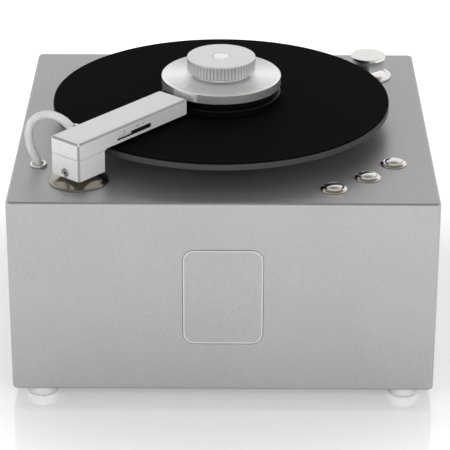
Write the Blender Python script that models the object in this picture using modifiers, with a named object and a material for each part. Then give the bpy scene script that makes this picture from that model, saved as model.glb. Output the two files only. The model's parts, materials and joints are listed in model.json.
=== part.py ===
"""Record cleaning machine: casing, turntable, suction arm, clamp, controls and the machinery inside.

Metres, +Z up, the front faces -Y. The origin is at the centre of the machine's footprint, on the table.
Every piece is placed from one empty at the centre of the casing's top face, so heights given for a
piece are heights above that face.
"""
import math

import bmesh
import bpy
from mathutils import Matrix, Vector

# Casing
CASE_SIDE_BORDER = 0.029
CASE_END_BORDER = 0.02475
CASE_HEIGHT = 0.165
CASE_WALL = 0.005
CASE_EDGE = 0.004
FOOT_HEIGHT = 0.0095
REAR_REACH = 0.012
FIT = 0.0003
OVERRUN = 0.002

# Base tray and rear panel
TRAY_FLOOR = 0.003
TRAY_SIDE = 0.0025
TRAY_RISE = 0.016
PANEL_THICKNESS = 0.0023
WINDOW_SIDE_BORDER = 0.018
WINDOW_TOP_BORDER = 0.014
WINDOW_LOW_BORDER = 0.0065
PANEL_TOP_GAP = 0.002

# Feet
FOOT_RADIUS = 0.013
FOOT_TREAD_RADIUS = 0.0085
FOOT_STEM_RADIUS = 0.004
FOOT_STEM_HEIGHT = 0.007
FOOT_SIDE_INSET = 0.0232
FOOT_END_INSET = 0.0165
FOOT_BULGE = 0.0052

# Front badge
BADGE_WIDTH = 0.064
BADGE_HEIGHT = 0.0828
BADGE_CORNER = 0.009
BADGE_TOP_DROP = 0.0402
BADGE_THICKNESS = 0.0012
BADGE_STAND = 0.0003

# Turntable: spindle place, platter and mat
SPINDLE_X = -0.0027
SPINDLE_Y = 0.0031
PLATTER_RADIUS = 0.141
PLATTER_THICKNESS = 0.0050
PLATTER_LIFT = 0.0157
PLATTER_CHAMFER = 0.0006
MAT_THICKNESS = 0.0015
MAT_EDGE_INSET = 0.0004
HUB_RADIUS = 0.032
HUB_DROP = 0.0079
PIN_RADIUS = 0.0036
PIN_TIP_HEIGHT = 0.054
PIN_CHAMFER = 0.001
SPINDLE_RADIUS = 0.0057
DRIVE_FLANGE_RADIUS = 0.014
DRIVE_FLANGE_THICKNESS = 0.003

# Spindle bearings and their housing
BEARING_RADIUS = 0.013
BEARING_WIDTH = 0.008
BEARING_SPACING = 0.032
HOUSING_WALL = 0.007
HOUSING_COLLAR_HEIGHT = 0.0035
HOUSING_FLANGE_RADIUS = 0.038
HOUSING_FLANGE_THICKNESS = 0.006
HOUSING_SHOULDER = 0.003
HOUSING_SKIRT = 0.006

# Platter drive: coupling, bracket, gearbox and motor
COUPLING_RADIUS = 0.010
COUPLING_LENGTH = 0.024
COUPLING_TOP_GRIP = 0.010
MOTOR_SHAFT_RADIUS = 0.004
MOTOR_SHAFT_LENGTH = 0.014
SPINDLE_TAIL = 0.014
BRACKET_RADIUS = 0.030
BRACKET_WALL = 0.003
BRACKET_FLANGE = 0.003
BRACKET_WINDOW_WIDTH = 0.026
BRACKET_WINDOW_MARGIN = 0.010
GEARBOX_RADIUS = 0.026
GEARBOX_HEIGHT = 0.020
MOTOR_RADIUS = 0.022
MOTOR_ROOM_SHARE = 0.53
MOTOR_TERMINAL_RADIUS = 0.006
MOTOR_TERMINAL_HEIGHT = 0.004

# Clamp
CLAMP_RADIUS = 0.050
SEAL_HEIGHT = 0.0068
SEAL_ROUNDING = 0.0015
SEAL_NECK_RADIUS = 0.044
SEAL_NECK_HEIGHT = 0.0052
SEAL_BORE_RADIUS = 0.030
CLAMP_DISC_HEIGHT = 0.0086
CLAMP_CHAMFER = 0.001
CLAMP_BOSS_DROP = 0.010
COLLAR_RADIUS = 0.024
COLLAR_HEIGHT = 0.0033
KNOB_RADIUS = 0.0285
KNOB_HEIGHT = 0.0115
KNOB_FLUTES = 58
KNOB_FLUTE_DEPTH = 0.0008
INLAY_RADIUS = 0.007
INLAY_DEPTH = 0.001

# Controls that lie on one circle round the spindle
BUTTON_STANDOFF = 0.0249
BUTTON_FIRST_ANGLE = math.radians(-57.2)
BUTTON_ANGLE_STEP = math.radians(12.4)
BUTTON_COUNT = 3
BEZEL_RADIUS = 0.011
BEZEL_HEIGHT = 0.0020
BEZEL_BEVEL = 0.0026
BEZEL_BARREL_RADIUS = 0.0083
BEZEL_BARREL_LENGTH = 0.022
CAP_RADIUS = 0.0068
CAP_CROWN = 0.0012
CAP_STAND = 0.0006
CAP_LENGTH = 0.012
BARREL_FLOOR = 0.003

# Rear post
POST_STANDOFF = 0.0280
POST_ANGLE = math.radians(40.0)
POST_HEIGHT = 0.020
POST_TOP_RADIUS = 0.0155
POST_WAIST_RADIUS = 0.0142
POST_LIP = 0.0024
POST_BASE_RADIUS = 0.0208
POST_BASE_THICKNESS = 0.0018
POST_COVE = 0.0035
POST_STUD_RADIUS = 0.003
POST_STUD_LENGTH = 0.012

# Suction arm. Its own frame: U runs along the beam, V to its far side, W up.
ARM_STANDOFF = 0.0263
ARM_CIRCLE_ANGLE = math.radians(-132.16)
ARM_HEADING = math.radians(49.77)
ARM_WIDTH = 0.031
ARM_TIP_GAP = 0.0038
ARM_TOP = 0.039
ARM_BLOCK_LOW = 0.007
ARM_PARTING = 0.0252
ARM_UNDERSIDE = 0.0262
ARM_CHAMFER = 0.0015
ARM_LIFT_TRAVEL = 0.0015
SLOT_START = 0.029
SLOT_LENGTH = 0.0395
SLOT_WIDTH = 0.0038
SLOT_LOW = 0.0286
SLOT_DEPTH = 0.006
SLIDER_LENGTH = 0.0175
SLIDER_INSET = 0.0004
CHANNEL_START = 0.020
CHANNEL_END_MARGIN = 0.005
CHANNEL_WIDTH = 0.005
CHANNEL_DEPTH = 0.007
PAD_THICKNESS = 0.0015
PAD_WIDTH = 0.0075
SET_SCREW_RADIUS = 0.0029
SET_SCREW_HEIGHT = 0.0112
SET_SCREW_LENGTH = 0.0055
SET_SCREW_INSET = 0.0003
SOCKET_RADIUS = 0.0017
SOCKET_DEPTH = 0.002

# Arm post, its bush, clip and spring
ARM_POST_RADIUS = 0.009
ARM_POST_TOP = 0.022
ARM_POST_TAIL = 0.036
BUSH_RADIUS = 0.0127
BUSH_LENGTH = 0.030
BUSH_FLANGE_RADIUS = 0.020
BUSH_FLANGE_THICKNESS = 0.004
CLIP_RADIUS = 0.014
CLIP_THICKNESS = 0.0025
CLIP_GROOVE = 0.0015
SPRING_RADIUS = 0.0052
SPRING_WIRE_RADIUS = 0.0007
SPRING_SEAT = 0.0100
SPRING_BORE_RADIUS = 0.0066
SPRING_TURNS = 5
SPRING_POINTS_A_TURN = 9
ARM_FLANGE_RADIUS = 0.0241
ARM_FLANGE_RIM = 0.0016
ARM_FLANGE_LIP = 0.0007
ARM_FLANGE_CURVE_STEPS = 4
ARM_FLANGE_NECK = 0.0125

# Suction hose, its spigot on the arm and its grommet in the casing
HOSE_RADIUS = 0.0036
SPIGOT_ALONG = 0.0165
SPIGOT_HEIGHT = 0.0335
SPIGOT_RADIUS = 0.0046
SPIGOT_LENGTH = 0.0035
SPIGOT_TAIL_RADIUS = 0.0030
SPIGOT_TAIL_LENGTH = 0.004
SPIGOT_STRAIGHT = 0.0015
GROMMET_SIDE_OFFSET = 0.0345
GROMMET_BACK_OFFSET = 0.0288
GROMMET_RADIUS = 0.0069
GROMMET_HEIGHT = 0.0023
GROMMET_MOUTH_RADIUS = 0.0047
GROMMET_NECK_RADIUS = 0.0054
GROMMET_NECK_LENGTH = 0.012
# Points of the hose's route above the casing, from the grommet to the arm, in metres.
HOSE_ROUTE = (
    (-0.1499, -0.0921, 0.0012),
    (-0.1503, -0.0920, 0.0030),
    (-0.1514, -0.0916, 0.0062),
    (-0.1542, -0.0902, 0.0124),
    (-0.1563, -0.0882, 0.0192),
    (-0.1570, -0.0860, 0.0262),
    (-0.1555, -0.0842, 0.0322),
    (-0.1525, -0.0832, 0.0362),
    (-0.1486, -0.0828, 0.0388),
    (-0.1436, -0.0831, 0.0403),
    (-0.1383, -0.0842, 0.0405),
    (-0.1328, -0.0864, 0.0394),
    (-0.1284, -0.0888, 0.0377),
    (-0.1262, -0.0901, 0.0364),
    (-0.1245, -0.0913, 0.0351),
    (-0.1230, -0.0925, 0.0342),
    (-0.1216, -0.0937, 0.0336),
)
HOSE_SAMPLE_COUNT = 2

# Waste tank and its hoses
TANK_SIDE_GAP = 0.007
TANK_WIDTH = 0.088
TANK_FRONT = -0.055
TANK_BACK_GAP = 0.01715
TANK_HEIGHT = 0.077
TANK_WALL = 0.003
LID_THICKNESS = 0.004
LID_LIP = 0.004
TANK_INLET_SIDE_INSET = 0.018
TANK_INLET_FRONT_INSET = 0.020
TANK_OUTLET_SIDE_INSET = 0.063
TANK_OUTLET_BACK_INSET = 0.021
PUMP_HOSE_RADIUS = 0.006
HOSE_START_DROP = 0.0004
TANK_HOSE_DIP = 0.0073
BLOWER_HOSE_DIP = 0.001
HOSE_HELD_POINTS = 1
# Points of the hidden hoses' routes, in metres, heights from the casing's top face.
INNER_HOSE_ROUTE = (
    (-0.1495, -0.0921, -0.0004),
    (-0.1495, -0.0919, -0.0160),
    (-0.1490, -0.0880, -0.0320),
    (-0.1462, -0.0730, -0.0450),
    (-0.1425, -0.0530, -0.0530),
    (-0.1403, -0.0378, -0.0660),
    (-0.1400, -0.0350, -0.0780),
    (-0.1400, -0.0350, -0.0920),
)
PUMP_HOSE_ROUTE = (
    (-0.0950, 0.1200, -0.0920),
    (-0.0950, 0.1200, -0.0730),
    (-0.0950, 0.1200, -0.0690),
    (-0.0910, 0.1192, -0.0470),
    (-0.0680, 0.1140, -0.0270),
    (-0.0350, 0.1060, -0.0200),
    (0.0000, 0.0930, -0.0220),
    (0.0290, 0.0770, -0.0380),
    (0.0450, 0.0655, -0.0620),
    (0.0488, 0.0620, -0.0880),
    (0.0488, 0.0620, -0.1105),
)

# Vacuum blower
BLOWER_SIDE_GAP = 0.010
BLOWER_Y = 0.045
BLOWER_RADIUS = 0.060
BLOWER_RISE = 0.0065
BLOWER_HEIGHT = 0.046
BLOWER_WALL = 0.003
BLOWER_EYE_RADIUS = 0.016
BLOWER_INLET_SIDE_OFFSET = 0.0462
BLOWER_INLET_BACK_OFFSET = 0.0170
DUCT_WIDTH = 0.040
DUCT_HEIGHT = 0.030
DUCT_WALL = 0.002
IMPELLER_RADIUS = 0.048
IMPELLER_PLATE = 0.003
IMPELLER_VANES = 8
VANE_HEIGHT = 0.018
VANE_THICKNESS = 0.002
IMPELLER_HUB_RADIUS = 0.012
IMPELLER_CLEARANCE = 0.005
BLOWER_SHAFT_RADIUS = 0.004
BLOWER_SHAFT_GRIP = 0.009
BLOWER_MOTOR_RADIUS = 0.036
BLOWER_MOTOR_HEIGHT = 0.060
BLOWER_CAP_RADIUS = 0.020
BLOWER_CAP_HEIGHT = 0.008
MOUNT_WIDTH = 0.008

# Rear panel fittings
INLET_X = -0.035
SWITCH_X = 0.006
FITTINGS_RISE = 0.0380
INLET_FLANGE_WIDTH = 0.048
INLET_FLANGE_HEIGHT = 0.027
FITTING_FLANGE_THICKNESS = 0.002
INLET_BODY_WIDTH = 0.030
INLET_BODY_HEIGHT = 0.022
INLET_BODY_DEPTH = 0.020
INLET_CAVITY_WIDTH = 0.024
INLET_CAVITY_HEIGHT = 0.016
INLET_CAVITY_DEPTH = 0.016
INLET_PIN_WIDTH = 0.002
INLET_PIN_HEIGHT = 0.004
INLET_PIN_LENGTH = 0.009
INLET_PIN_SPACING = 0.007
INLET_PIN_RISE = 0.002
SWITCH_WIDTH = 0.022
SWITCH_HEIGHT = 0.030
SWITCH_BODY_DEPTH = 0.018
SWITCH_BORDER = 0.0035
ROCKER_DEPTH = 0.007
ROCKER_PEAK = 0.0022
ROCKER_TILT_SHARE = 0.45
ROCKER_PIVOT_DEPTH = 0.0045
GRILLE_SLOTS = 7
GRILLE_SLOT_WIDTH = 0.0035
GRILLE_SLOT_HEIGHT = 0.026
GRILLE_PITCH = 0.0055
DRAIN_SIDE_INSET = 0.043
DRAIN_RISE = 0.0180
DRAIN_RADIUS = 0.007
DRAIN_TAIL_RADIUS = 0.0045
DRAIN_TAIL_LENGTH = 0.006
DRAIN_SPOUT_RADIUS = 0.0035
DRAIN_SPOUT_DROP = 0.014
DRAIN_BARREL_REACH = 0.009
TAP_STEM_RADIUS = 0.0025
TAP_STEM_LENGTH = 0.005
TAP_WIDTH = 0.007
TAP_LENGTH = 0.024

# Electrical boxes on the tray
SUPPLY_LEFT = -0.060
SUPPLY_RIGHT = 0.040
SUPPLY_FRONT_GAP = 0.01075
SUPPLY_DEPTH = 0.055
SUPPLY_HEIGHT = 0.050
SUPPLY_ROUNDING = 0.002
BOARD_SUPPLY_GAP = 0.015
BOARD_SIDE_GAP = 0.015
BOARD_DEPTH = 0.090
BOARD_THICKNESS = 0.0016
BOARD_RISE = 0.012
BOARD_CHIP_HEIGHT = 0.008
BOARD_CHIP_INSET_SHARE = 0.3
PILLAR_RADIUS = 0.003
PILLAR_INSET = 0.007

# How finely round pieces are divided
FINE = 64
MIDDLE = 40
COARSE = 24
SMALL = 16
TINY = 8
HEXAGON = 6

CASE_WIDTH = 2 * (PLATTER_RADIUS + CASE_SIDE_BORDER)
CASE_DEPTH = 2 * (PLATTER_RADIUS + CASE_END_BORDER)
TOP_OF_TRAY = TRAY_FLOOR - CASE_HEIGHT
REAR_FACE = CASE_DEPTH / 2
REAR_INSIDE = REAR_FACE - CASE_WALL
SIDE_INSIDE = CASE_WIDTH / 2 - CASE_WALL
PANEL_OUTER = REAR_INSIDE - FIT
PANEL_INNER = PANEL_OUTER - PANEL_THICKNESS

PLATTER_TOP = PLATTER_LIFT + PLATTER_THICKNESS
MAT_LOW = PLATTER_TOP + FIT
MAT_TOP = MAT_LOW + MAT_THICKNESS
HUB_LOW = PLATTER_LIFT - HUB_DROP
BORE_RADIUS = PIN_RADIUS + FIT
SPINDLE_BORE_RADIUS = SPINDLE_RADIUS + FIT
DRIVE_FLANGE_TOP = HUB_LOW - FIT

SEAL_LOW = MAT_TOP + FIT
SEAL_STEP = SEAL_LOW + SEAL_HEIGHT
SEAL_TOP = SEAL_STEP + SEAL_NECK_HEIGHT
DISC_LOW = SEAL_TOP + FIT
DISC_TOP = DISC_LOW + CLAMP_DISC_HEIGHT
COLLAR_LOW = DISC_TOP + FIT
KNOB_LOW = COLLAR_LOW + COLLAR_HEIGHT + FIT
KNOB_TOP = KNOB_LOW + KNOB_HEIGHT

HOUSING_RADIUS = BEARING_RADIUS + HOUSING_WALL
FLANGE_TOP = -CASE_WALL - FIT
FLANGE_LOW = FLANGE_TOP - HOUSING_FLANGE_THICKNESS
UPPER_BEARING_TOP = 0.0
LOWER_BEARING_TOP = UPPER_BEARING_TOP - BEARING_SPACING
HOUSING_LOW = LOWER_BEARING_TOP - BEARING_WIDTH - HOUSING_SKIRT
SPINDLE_LOW = HOUSING_LOW - SPINDLE_TAIL
COUPLING_TOP = SPINDLE_LOW + COUPLING_TOP_GRIP
COUPLING_LOW = COUPLING_TOP - COUPLING_LENGTH
MOTOR_SHAFT_TOP = SPINDLE_LOW - FIT
BRACKET_TOP = FLANGE_LOW - FIT
GEARBOX_TOP = COUPLING_LOW - BRACKET_FLANGE - 2 * FIT
BRACKET_LOW = GEARBOX_TOP + FIT
MOTOR_HEIGHT = MOTOR_ROOM_SHARE * (GEARBOX_TOP - GEARBOX_HEIGHT - FIT - TOP_OF_TRAY)

BUTTON_CIRCLE_RADIUS = PLATTER_RADIUS + BUTTON_STANDOFF
POST_CIRCLE_RADIUS = PLATTER_RADIUS + POST_STANDOFF
ARM_CIRCLE_RADIUS = PLATTER_RADIUS + ARM_STANDOFF
ARM_REACH = ARM_CIRCLE_RADIUS - CLAMP_RADIUS - ARM_TIP_GAP

TANK_LEFT = TANK_SIDE_GAP - SIDE_INSIDE
TANK_RIGHT = TANK_LEFT + TANK_WIDTH
TANK_BACK = PANEL_INNER - TANK_BACK_GAP
TANK_RIM = TOP_OF_TRAY + FIT + TANK_HEIGHT
TANK_INLET = (TANK_LEFT + TANK_INLET_SIDE_INSET, TANK_FRONT + TANK_INLET_FRONT_INSET)
TANK_OUTLET = (TANK_LEFT + TANK_OUTLET_SIDE_INSET, TANK_BACK - TANK_OUTLET_BACK_INSET)
BLOWER_X = SIDE_INSIDE - BLOWER_SIDE_GAP - BLOWER_RADIUS
BLOWER_LOW = TOP_OF_TRAY + BLOWER_RISE
FITTINGS_HEIGHT = TOP_OF_TRAY + FITTINGS_RISE
DRAIN_X = TANK_LEFT + DRAIN_SIDE_INSET
DRAIN_HEIGHT = TOP_OF_TRAY + DRAIN_RISE
SUPPLY_FRONT = SUPPLY_FRONT_GAP - REAR_INSIDE
SUPPLY_BACK = SUPPLY_FRONT + SUPPLY_DEPTH
BOARD_LEFT = SUPPLY_RIGHT + BOARD_SUPPLY_GAP
BOARD_RIGHT = SIDE_INSIDE - BOARD_SIDE_GAP
BOARD_BACK = SUPPLY_FRONT + BOARD_DEPTH


def collection(name):
    """A new collection under the scene's own."""
    made = bpy.data.collections.new(name)
    bpy.context.scene.collection.children.link(made)
    return made


def finish(name, colour, metallic, roughness):
    """A Principled material."""
    made = bpy.data.materials.new(name)
    made.use_nodes = True
    shader = made.node_tree.nodes["Principled BSDF"]
    shader.inputs["Base Color"].default_value = (*colour, 1.0)
    shader.inputs["Metallic"].default_value = metallic
    shader.inputs["Roughness"].default_value = roughness
    made.diffuse_color = (*colour, 1.0)
    return made


def empty(name, location, parent=None, turn=0.0):
    """An empty that carries the pieces of one group."""
    made = bpy.data.objects.new(name, None)
    made.empty_display_size = CASE_WALL
    made.location = location
    made.rotation_euler = (0.0, 0.0, turn)
    made.parent = parent
    PARTS.objects.link(made)
    return made


def place(name, mesh, look, parent, into=None):
    """An object for a mesh, under its parent empty."""
    made = bpy.data.objects.new(name, mesh)
    made.parent = parent
    (into or PARTS).objects.link(made)
    if look:
        mesh.materials.append(look)
    return made


def smooth(mesh):
    """Shades round faces smooth and keeps edges over 35 degrees sharp."""
    mesh.shade_smooth()
    mesh.set_sharp_from_angle(angle=math.radians(35))


def mesh_of(shape, name):
    """A mesh from a bmesh, which is freed."""
    mesh = bpy.data.meshes.new(name)
    shape.to_mesh(mesh)
    shape.free()
    return mesh


def cuboid(low, high):
    """A bmesh box between two corners."""
    shape = bmesh.new()
    bmesh.ops.create_cube(shape, size=1.0)
    low, high = Vector(low), Vector(high)
    size = high - low
    bmesh.ops.scale(shape, vec=size, verts=shape.verts)
    bmesh.ops.translate(shape, vec=(low + high) / 2, verts=shape.verts)
    return shape


def box(name, low, high, look, parent, rounding=0.0, steps=2, into=None):
    """A box between two corners, with its edges rounded by a live Bevel if asked."""
    made = place(name, mesh_of(cuboid(low, high), name), look, parent, into)
    if rounding:
        bevel = made.modifiers.new("rounding", "BEVEL")
        bevel.width = rounding
        bevel.segments = steps
        bevel.limit_method = "ANGLE"
    return made


def baked(source, name):
    """The evaluated mesh of an object, welded, with the object removed."""
    graph = bpy.context.evaluated_depsgraph_get()
    mesh = bpy.data.meshes.new_from_object(source.evaluated_get(graph))
    mesh.name = name
    shape = bmesh.new()
    shape.from_mesh(mesh)
    bmesh.ops.remove_doubles(shape, verts=shape.verts, dist=FIT / 100)
    shape.to_mesh(mesh)
    shape.free()
    bpy.data.objects.remove(source)
    return mesh


def turned(name, profile, steps, look, parent, ring=False, axis="Z", at=(0.0, 0.0, 0.0), into=None):
    """A turned piece: (radius, height) points from the top of its outer side to the bottom, swept round.

    A ring's profile closes on itself; any other starts and ends on the axis. The axis is Z, or Y or X for a
    piece that lies down, whose heights then run along that axis.
    """
    shape = bmesh.new()
    points = [shape.verts.new((radius, 0.0, height)) for radius, height in profile]
    for first, second in zip(points, points[1:]):
        shape.edges.new((first, second))
    if ring:
        shape.edges.new((points[-1], points[0]))
    guide = place(name + "_profile", mesh_of(shape, name), None, None)
    screw = guide.modifiers.new("turn", "SCREW")
    screw.steps = steps
    screw.render_steps = steps
    screw.use_merge_vertices = True
    screw.merge_threshold = FIT / 100
    mesh = baked(guide, name)
    turns = {
        "X": Matrix.Rotation(math.radians(90), 4, "Y"),
        "Y": Matrix.Rotation(math.radians(-90), 4, "X"),
        "Z": Matrix(),
    }
    mesh.transform(Matrix.Translation(at) @ turns[axis])
    smooth(mesh)
    return place(name, mesh, look, parent, into)


def prism(name, outline, low, high, look, parent, axis="Z", into=None):
    """A flat outline given thickness: a filled 2D curve, extruded, then made a mesh."""
    curve = bpy.data.curves.new(name, "CURVE")
    curve.dimensions = "2D"
    curve.fill_mode = "BOTH"
    curve.extrude = (high - low) / 2
    line = curve.splines.new("POLY")
    line.points.add(len(outline) - 1)
    for point, (across, along) in zip(line.points, outline):
        point.co = (across, along, 0.0, 1.0)
    line.use_cyclic_u = True
    guide = bpy.data.objects.new(name + "_outline", curve)
    PARTS.objects.link(guide)
    mesh = baked(guide, name)
    mesh.transform(Matrix.Translation((0.0, 0.0, (high + low) / 2)))
    if axis == "Y":
        mesh.transform(Matrix.Rotation(math.radians(90), 4, "X"))
        mesh.transform(Matrix.Scale(-1.0, 4, (0.0, 1.0, 0.0)))
        mesh.flip_normals()
    return place(name, mesh, look, parent, into)


def rounded_outline(width, height, corner, centre=(0.0, 0.0), steps=5):
    """The points of a rectangle with round corners, anticlockwise."""
    points = []
    for quarter in range(4):
        start = math.pi / 2 * quarter
        side_x = 1 if quarter in (0, 3) else -1
        side_y = 1 if quarter in (0, 1) else -1
        for step in range(steps + 1):
            angle = start + math.pi / 2 * step / steps
            x = centre[0] + side_x * (width / 2 - corner) + corner * math.cos(angle)
            y = centre[1] + side_y * (height / 2 - corner) + corner * math.sin(angle)
            points.append((x, y))
    return points


def smooth_route(route, samples):
    """Points read from the smooth curve through a route: each span is a Catmull-Rom cubic."""
    spots = [Vector(point) for point in route]
    spots = [spots[0] * 2 - spots[1]] + spots + [spots[-1] * 2 - spots[-2]]
    points = []
    for before, start, end, after in zip(spots, spots[1:], spots[2:], spots[3:]):
        for step in range(samples):
            t = step / samples
            points.append((
                start * 2
                + (end - before) * t
                + (before * 2 - start * 5 + end * 4 - after) * t ** 2
                + (start * 3 - before - end * 3 + after) * t ** 3
            ) / 2)
    return points + [spots[-2]]


def carried_route(route, start, end):
    """A route that keeps its chosen curve while its ends move with the pieces that they join."""
    start_move, end_move = Vector(start) - Vector(route[0]), Vector(end) - Vector(route[-1])
    free_spans = len(route) - 1 - 2 * HOSE_HELD_POINTS
    spots = []
    for number, spot in enumerate(route):
        share = min(max((number - HOSE_HELD_POINTS) / free_spans, 0), 1)
        spots.append(Vector(spot) + start_move.lerp(end_move, share))
    return spots


def tube(name, points, radius, look, parent, resolution=2):
    """A hose or wire: a curve object along the points with filled ends."""
    curve = bpy.data.curves.new(name, "CURVE")
    curve.dimensions = "3D"
    curve.bevel_depth = radius
    curve.bevel_resolution = resolution
    curve.use_fill_caps = True
    line = curve.splines.new("POLY")
    line.points.add(len(points) - 1)
    for point, spot in zip(line.points, points):
        point.co = (*spot, 1.0)
    curve.materials.append(look)
    made = bpy.data.objects.new(name, curve)
    made.parent = parent
    PARTS.objects.link(made)
    return made


def combine(target, tool, operation):
    """A live Boolean on the target. The tool keeps its place and is hidden."""
    step = target.modifiers.new(tool.name, "BOOLEAN")
    step.operation = operation
    step.solver = "EXACT"
    step.object = tool
    tool.hide_render = True
    tool.display_type = "WIRE"


def cut_box(target, low, high, parent, rounding=0.0):
    """Cuts a box out of the target."""
    tool = box(target.name + "_cut", low, high, None, parent, rounding, into=CUTTERS)
    combine(target, tool, "DIFFERENCE")


def cut_round(target, centre, radius, low, high, parent, steps=SMALL, axis="Z"):
    """Cuts a round hole out of the target, from low to high along its axis."""
    shape = [(0.0, high), (radius, high), (radius, low), (0.0, low)]
    tool = turned(target.name + "_cut", shape, steps, None, parent, axis=axis, at=centre, into=CUTTERS)
    combine(target, tool, "DIFFERENCE")


def add_shape(target, tool):
    """Joins a shape that overlaps the target to it."""
    for group in list(tool.users_collection):
        group.objects.unlink(tool)
    CUTTERS.objects.link(tool)
    combine(target, tool, "UNION")


def on_circle(radius, angle):
    """A place on a circle round the spindle."""
    return (SPINDLE_X + radius * math.cos(angle), SPINDLE_Y + radius * math.sin(angle), 0.0)


def make_casing():
    """The cover: a rounded box, open below, with holes for what passes through it."""
    half_x, half_y = CASE_WIDTH / 2, CASE_DEPTH / 2
    casing = box("casing", (-half_x, -half_y, -CASE_HEIGHT), (half_x, half_y, 0.0), SATIN, TOP, CASE_EDGE, 4)
    inside = (half_x - CASE_WALL, half_y - CASE_WALL)
    cut_box(casing, (-inside[0], -inside[1], -CASE_HEIGHT - OVERRUN), (inside[0], inside[1], -CASE_WALL), TOP)
    cut_box(
        casing,
        (WINDOW_SIDE_BORDER - half_x, REAR_INSIDE - OVERRUN, WINDOW_LOW_BORDER - CASE_HEIGHT),
        (half_x - WINDOW_SIDE_BORDER, REAR_FACE + OVERRUN, -WINDOW_TOP_BORDER),
        TOP,
    )
    badge = rounded_outline(
        BADGE_WIDTH + 2 * FIT, BADGE_HEIGHT + 2 * FIT, BADGE_CORNER + FIT, (0.0, badge_centre_height())
    )
    floor = BADGE_THICKNESS - BADGE_STAND + FIT - half_y
    pocket = prism("casing_badge_cut", badge, -half_y - OVERRUN, floor, None, TOP, axis="Y", into=CUTTERS)
    combine(casing, pocket, "DIFFERENCE")
    low, high = -CASE_WALL - OVERRUN, OVERRUN
    cut_round(casing, (SPINDLE_X, SPINDLE_Y, 0.0), HOUSING_RADIUS + FIT, low, high, TOP, MIDDLE)
    cut_round(casing, ARM_PLACE, BUSH_RADIUS + FIT, low, high, TOP, COARSE)
    cut_round(casing, GROMMET_PLACE, GROMMET_NECK_RADIUS + FIT, low, high, TOP)
    cut_round(casing, POST_PLACE, POST_STUD_RADIUS + FIT, low, high, TOP)
    for spot in BUTTON_PLACES:
        cut_round(casing, spot, BEZEL_BARREL_RADIUS + FIT, low, high, TOP, COARSE)


def badge_centre_height():
    """Height of the badge's centre."""
    return -BADGE_TOP_DROP - BADGE_HEIGHT / 2


def make_badge():
    """The blank plate let into the front."""
    outline = rounded_outline(BADGE_WIDTH, BADGE_HEIGHT, BADGE_CORNER, (0.0, badge_centre_height()))
    outer = -CASE_DEPTH / 2 - BADGE_STAND
    prism("front_badge", outline, outer, outer + BADGE_THICKNESS, SATIN, TOP, axis="Y")


def make_tray_and_panel():
    """The folded tray that closes the casing below, and the panel inside its rear window."""
    half_x = CASE_WIDTH / 2 - CASE_WALL - FIT
    half_y = CASE_DEPTH / 2 - CASE_WALL - FIT
    low = -CASE_HEIGHT
    tray = box("base_tray", (-half_x, -half_y, low), (half_x, half_y, low + TRAY_RISE), STEEL, TOP)
    inner_x = half_x - TRAY_SIDE
    over = half_y + OVERRUN
    cut_box(tray, (-inner_x, -over, TOP_OF_TRAY), (inner_x, over, low + TRAY_RISE + OVERRUN), TOP)
    for spot in FOOT_PLACES:
        cut_round(tray, spot, FOOT_STEM_RADIUS + FIT, low - OVERRUN, TOP_OF_TRAY + OVERRUN, TOP)
    side = inner_x - FIT
    panel = box(
        "rear_panel",
        (-side, PANEL_INNER, TOP_OF_TRAY + FIT),
        (side, PANEL_OUTER, -CASE_WALL - PANEL_TOP_GAP),
        BLACK_PAINT,
        TOP,
    )
    through = (PANEL_INNER - OVERRUN, PANEL_OUTER + OVERRUN)
    for centre, width, height in (
        (INLET_X, INLET_BODY_WIDTH, INLET_BODY_HEIGHT),
        (SWITCH_X, SWITCH_WIDTH - SWITCH_BORDER, SWITCH_HEIGHT - SWITCH_BORDER),
    ):
        half_w, half_h = width / 2 + FIT, height / 2 + FIT
        cut_box(
            panel,
            (centre - half_w, through[0], FITTINGS_HEIGHT - half_h),
            (centre + half_w, through[1], FITTINGS_HEIGHT + half_h),
            TOP,
        )
    cut_round(panel, (DRAIN_X, 0.0, DRAIN_HEIGHT), DRAIN_RADIUS + FIT, through[0], through[1], TOP, axis="Y")
    for slot in range(GRILLE_SLOTS):
        middle = BLOWER_X + (slot - (GRILLE_SLOTS - 1) / 2) * GRILLE_PITCH
        cut_box(
            panel,
            (middle - GRILLE_SLOT_WIDTH / 2, through[0], duct_middle() - GRILLE_SLOT_HEIGHT / 2),
            (middle + GRILLE_SLOT_WIDTH / 2, through[1], duct_middle() + GRILLE_SLOT_HEIGHT / 2),
            TOP,
        )


def make_feet():
    """Four domed bumpers with stems that press into the tray."""
    low = -FOOT_HEIGHT
    neck = FOOT_RADIUS - FOOT_BULGE / 4
    profile = [
        (0.0, FOOT_STEM_HEIGHT),
        (FOOT_STEM_RADIUS, FOOT_STEM_HEIGHT),
        (FOOT_STEM_RADIUS, -FIT),
        (neck, -FIT),
        (FOOT_RADIUS, low + FOOT_BULGE),
        ((FOOT_RADIUS + neck) / 2, low + FOOT_BULGE / 2),
        ((FOOT_RADIUS + FOOT_TREAD_RADIUS) / 2, low + FOOT_BULGE / 8),
        (FOOT_TREAD_RADIUS, low),
        (0.0, low),
    ]
    for name, spot in zip(("front_left", "front_right", "rear_left", "rear_right"), FOOT_PLACES):
        centre = empty("foot_" + name + "_centre", (spot[0], spot[1], -CASE_HEIGHT), TOP)
        turned("foot_" + name, profile, SMALL, PALE_RUBBER, centre)


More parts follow.
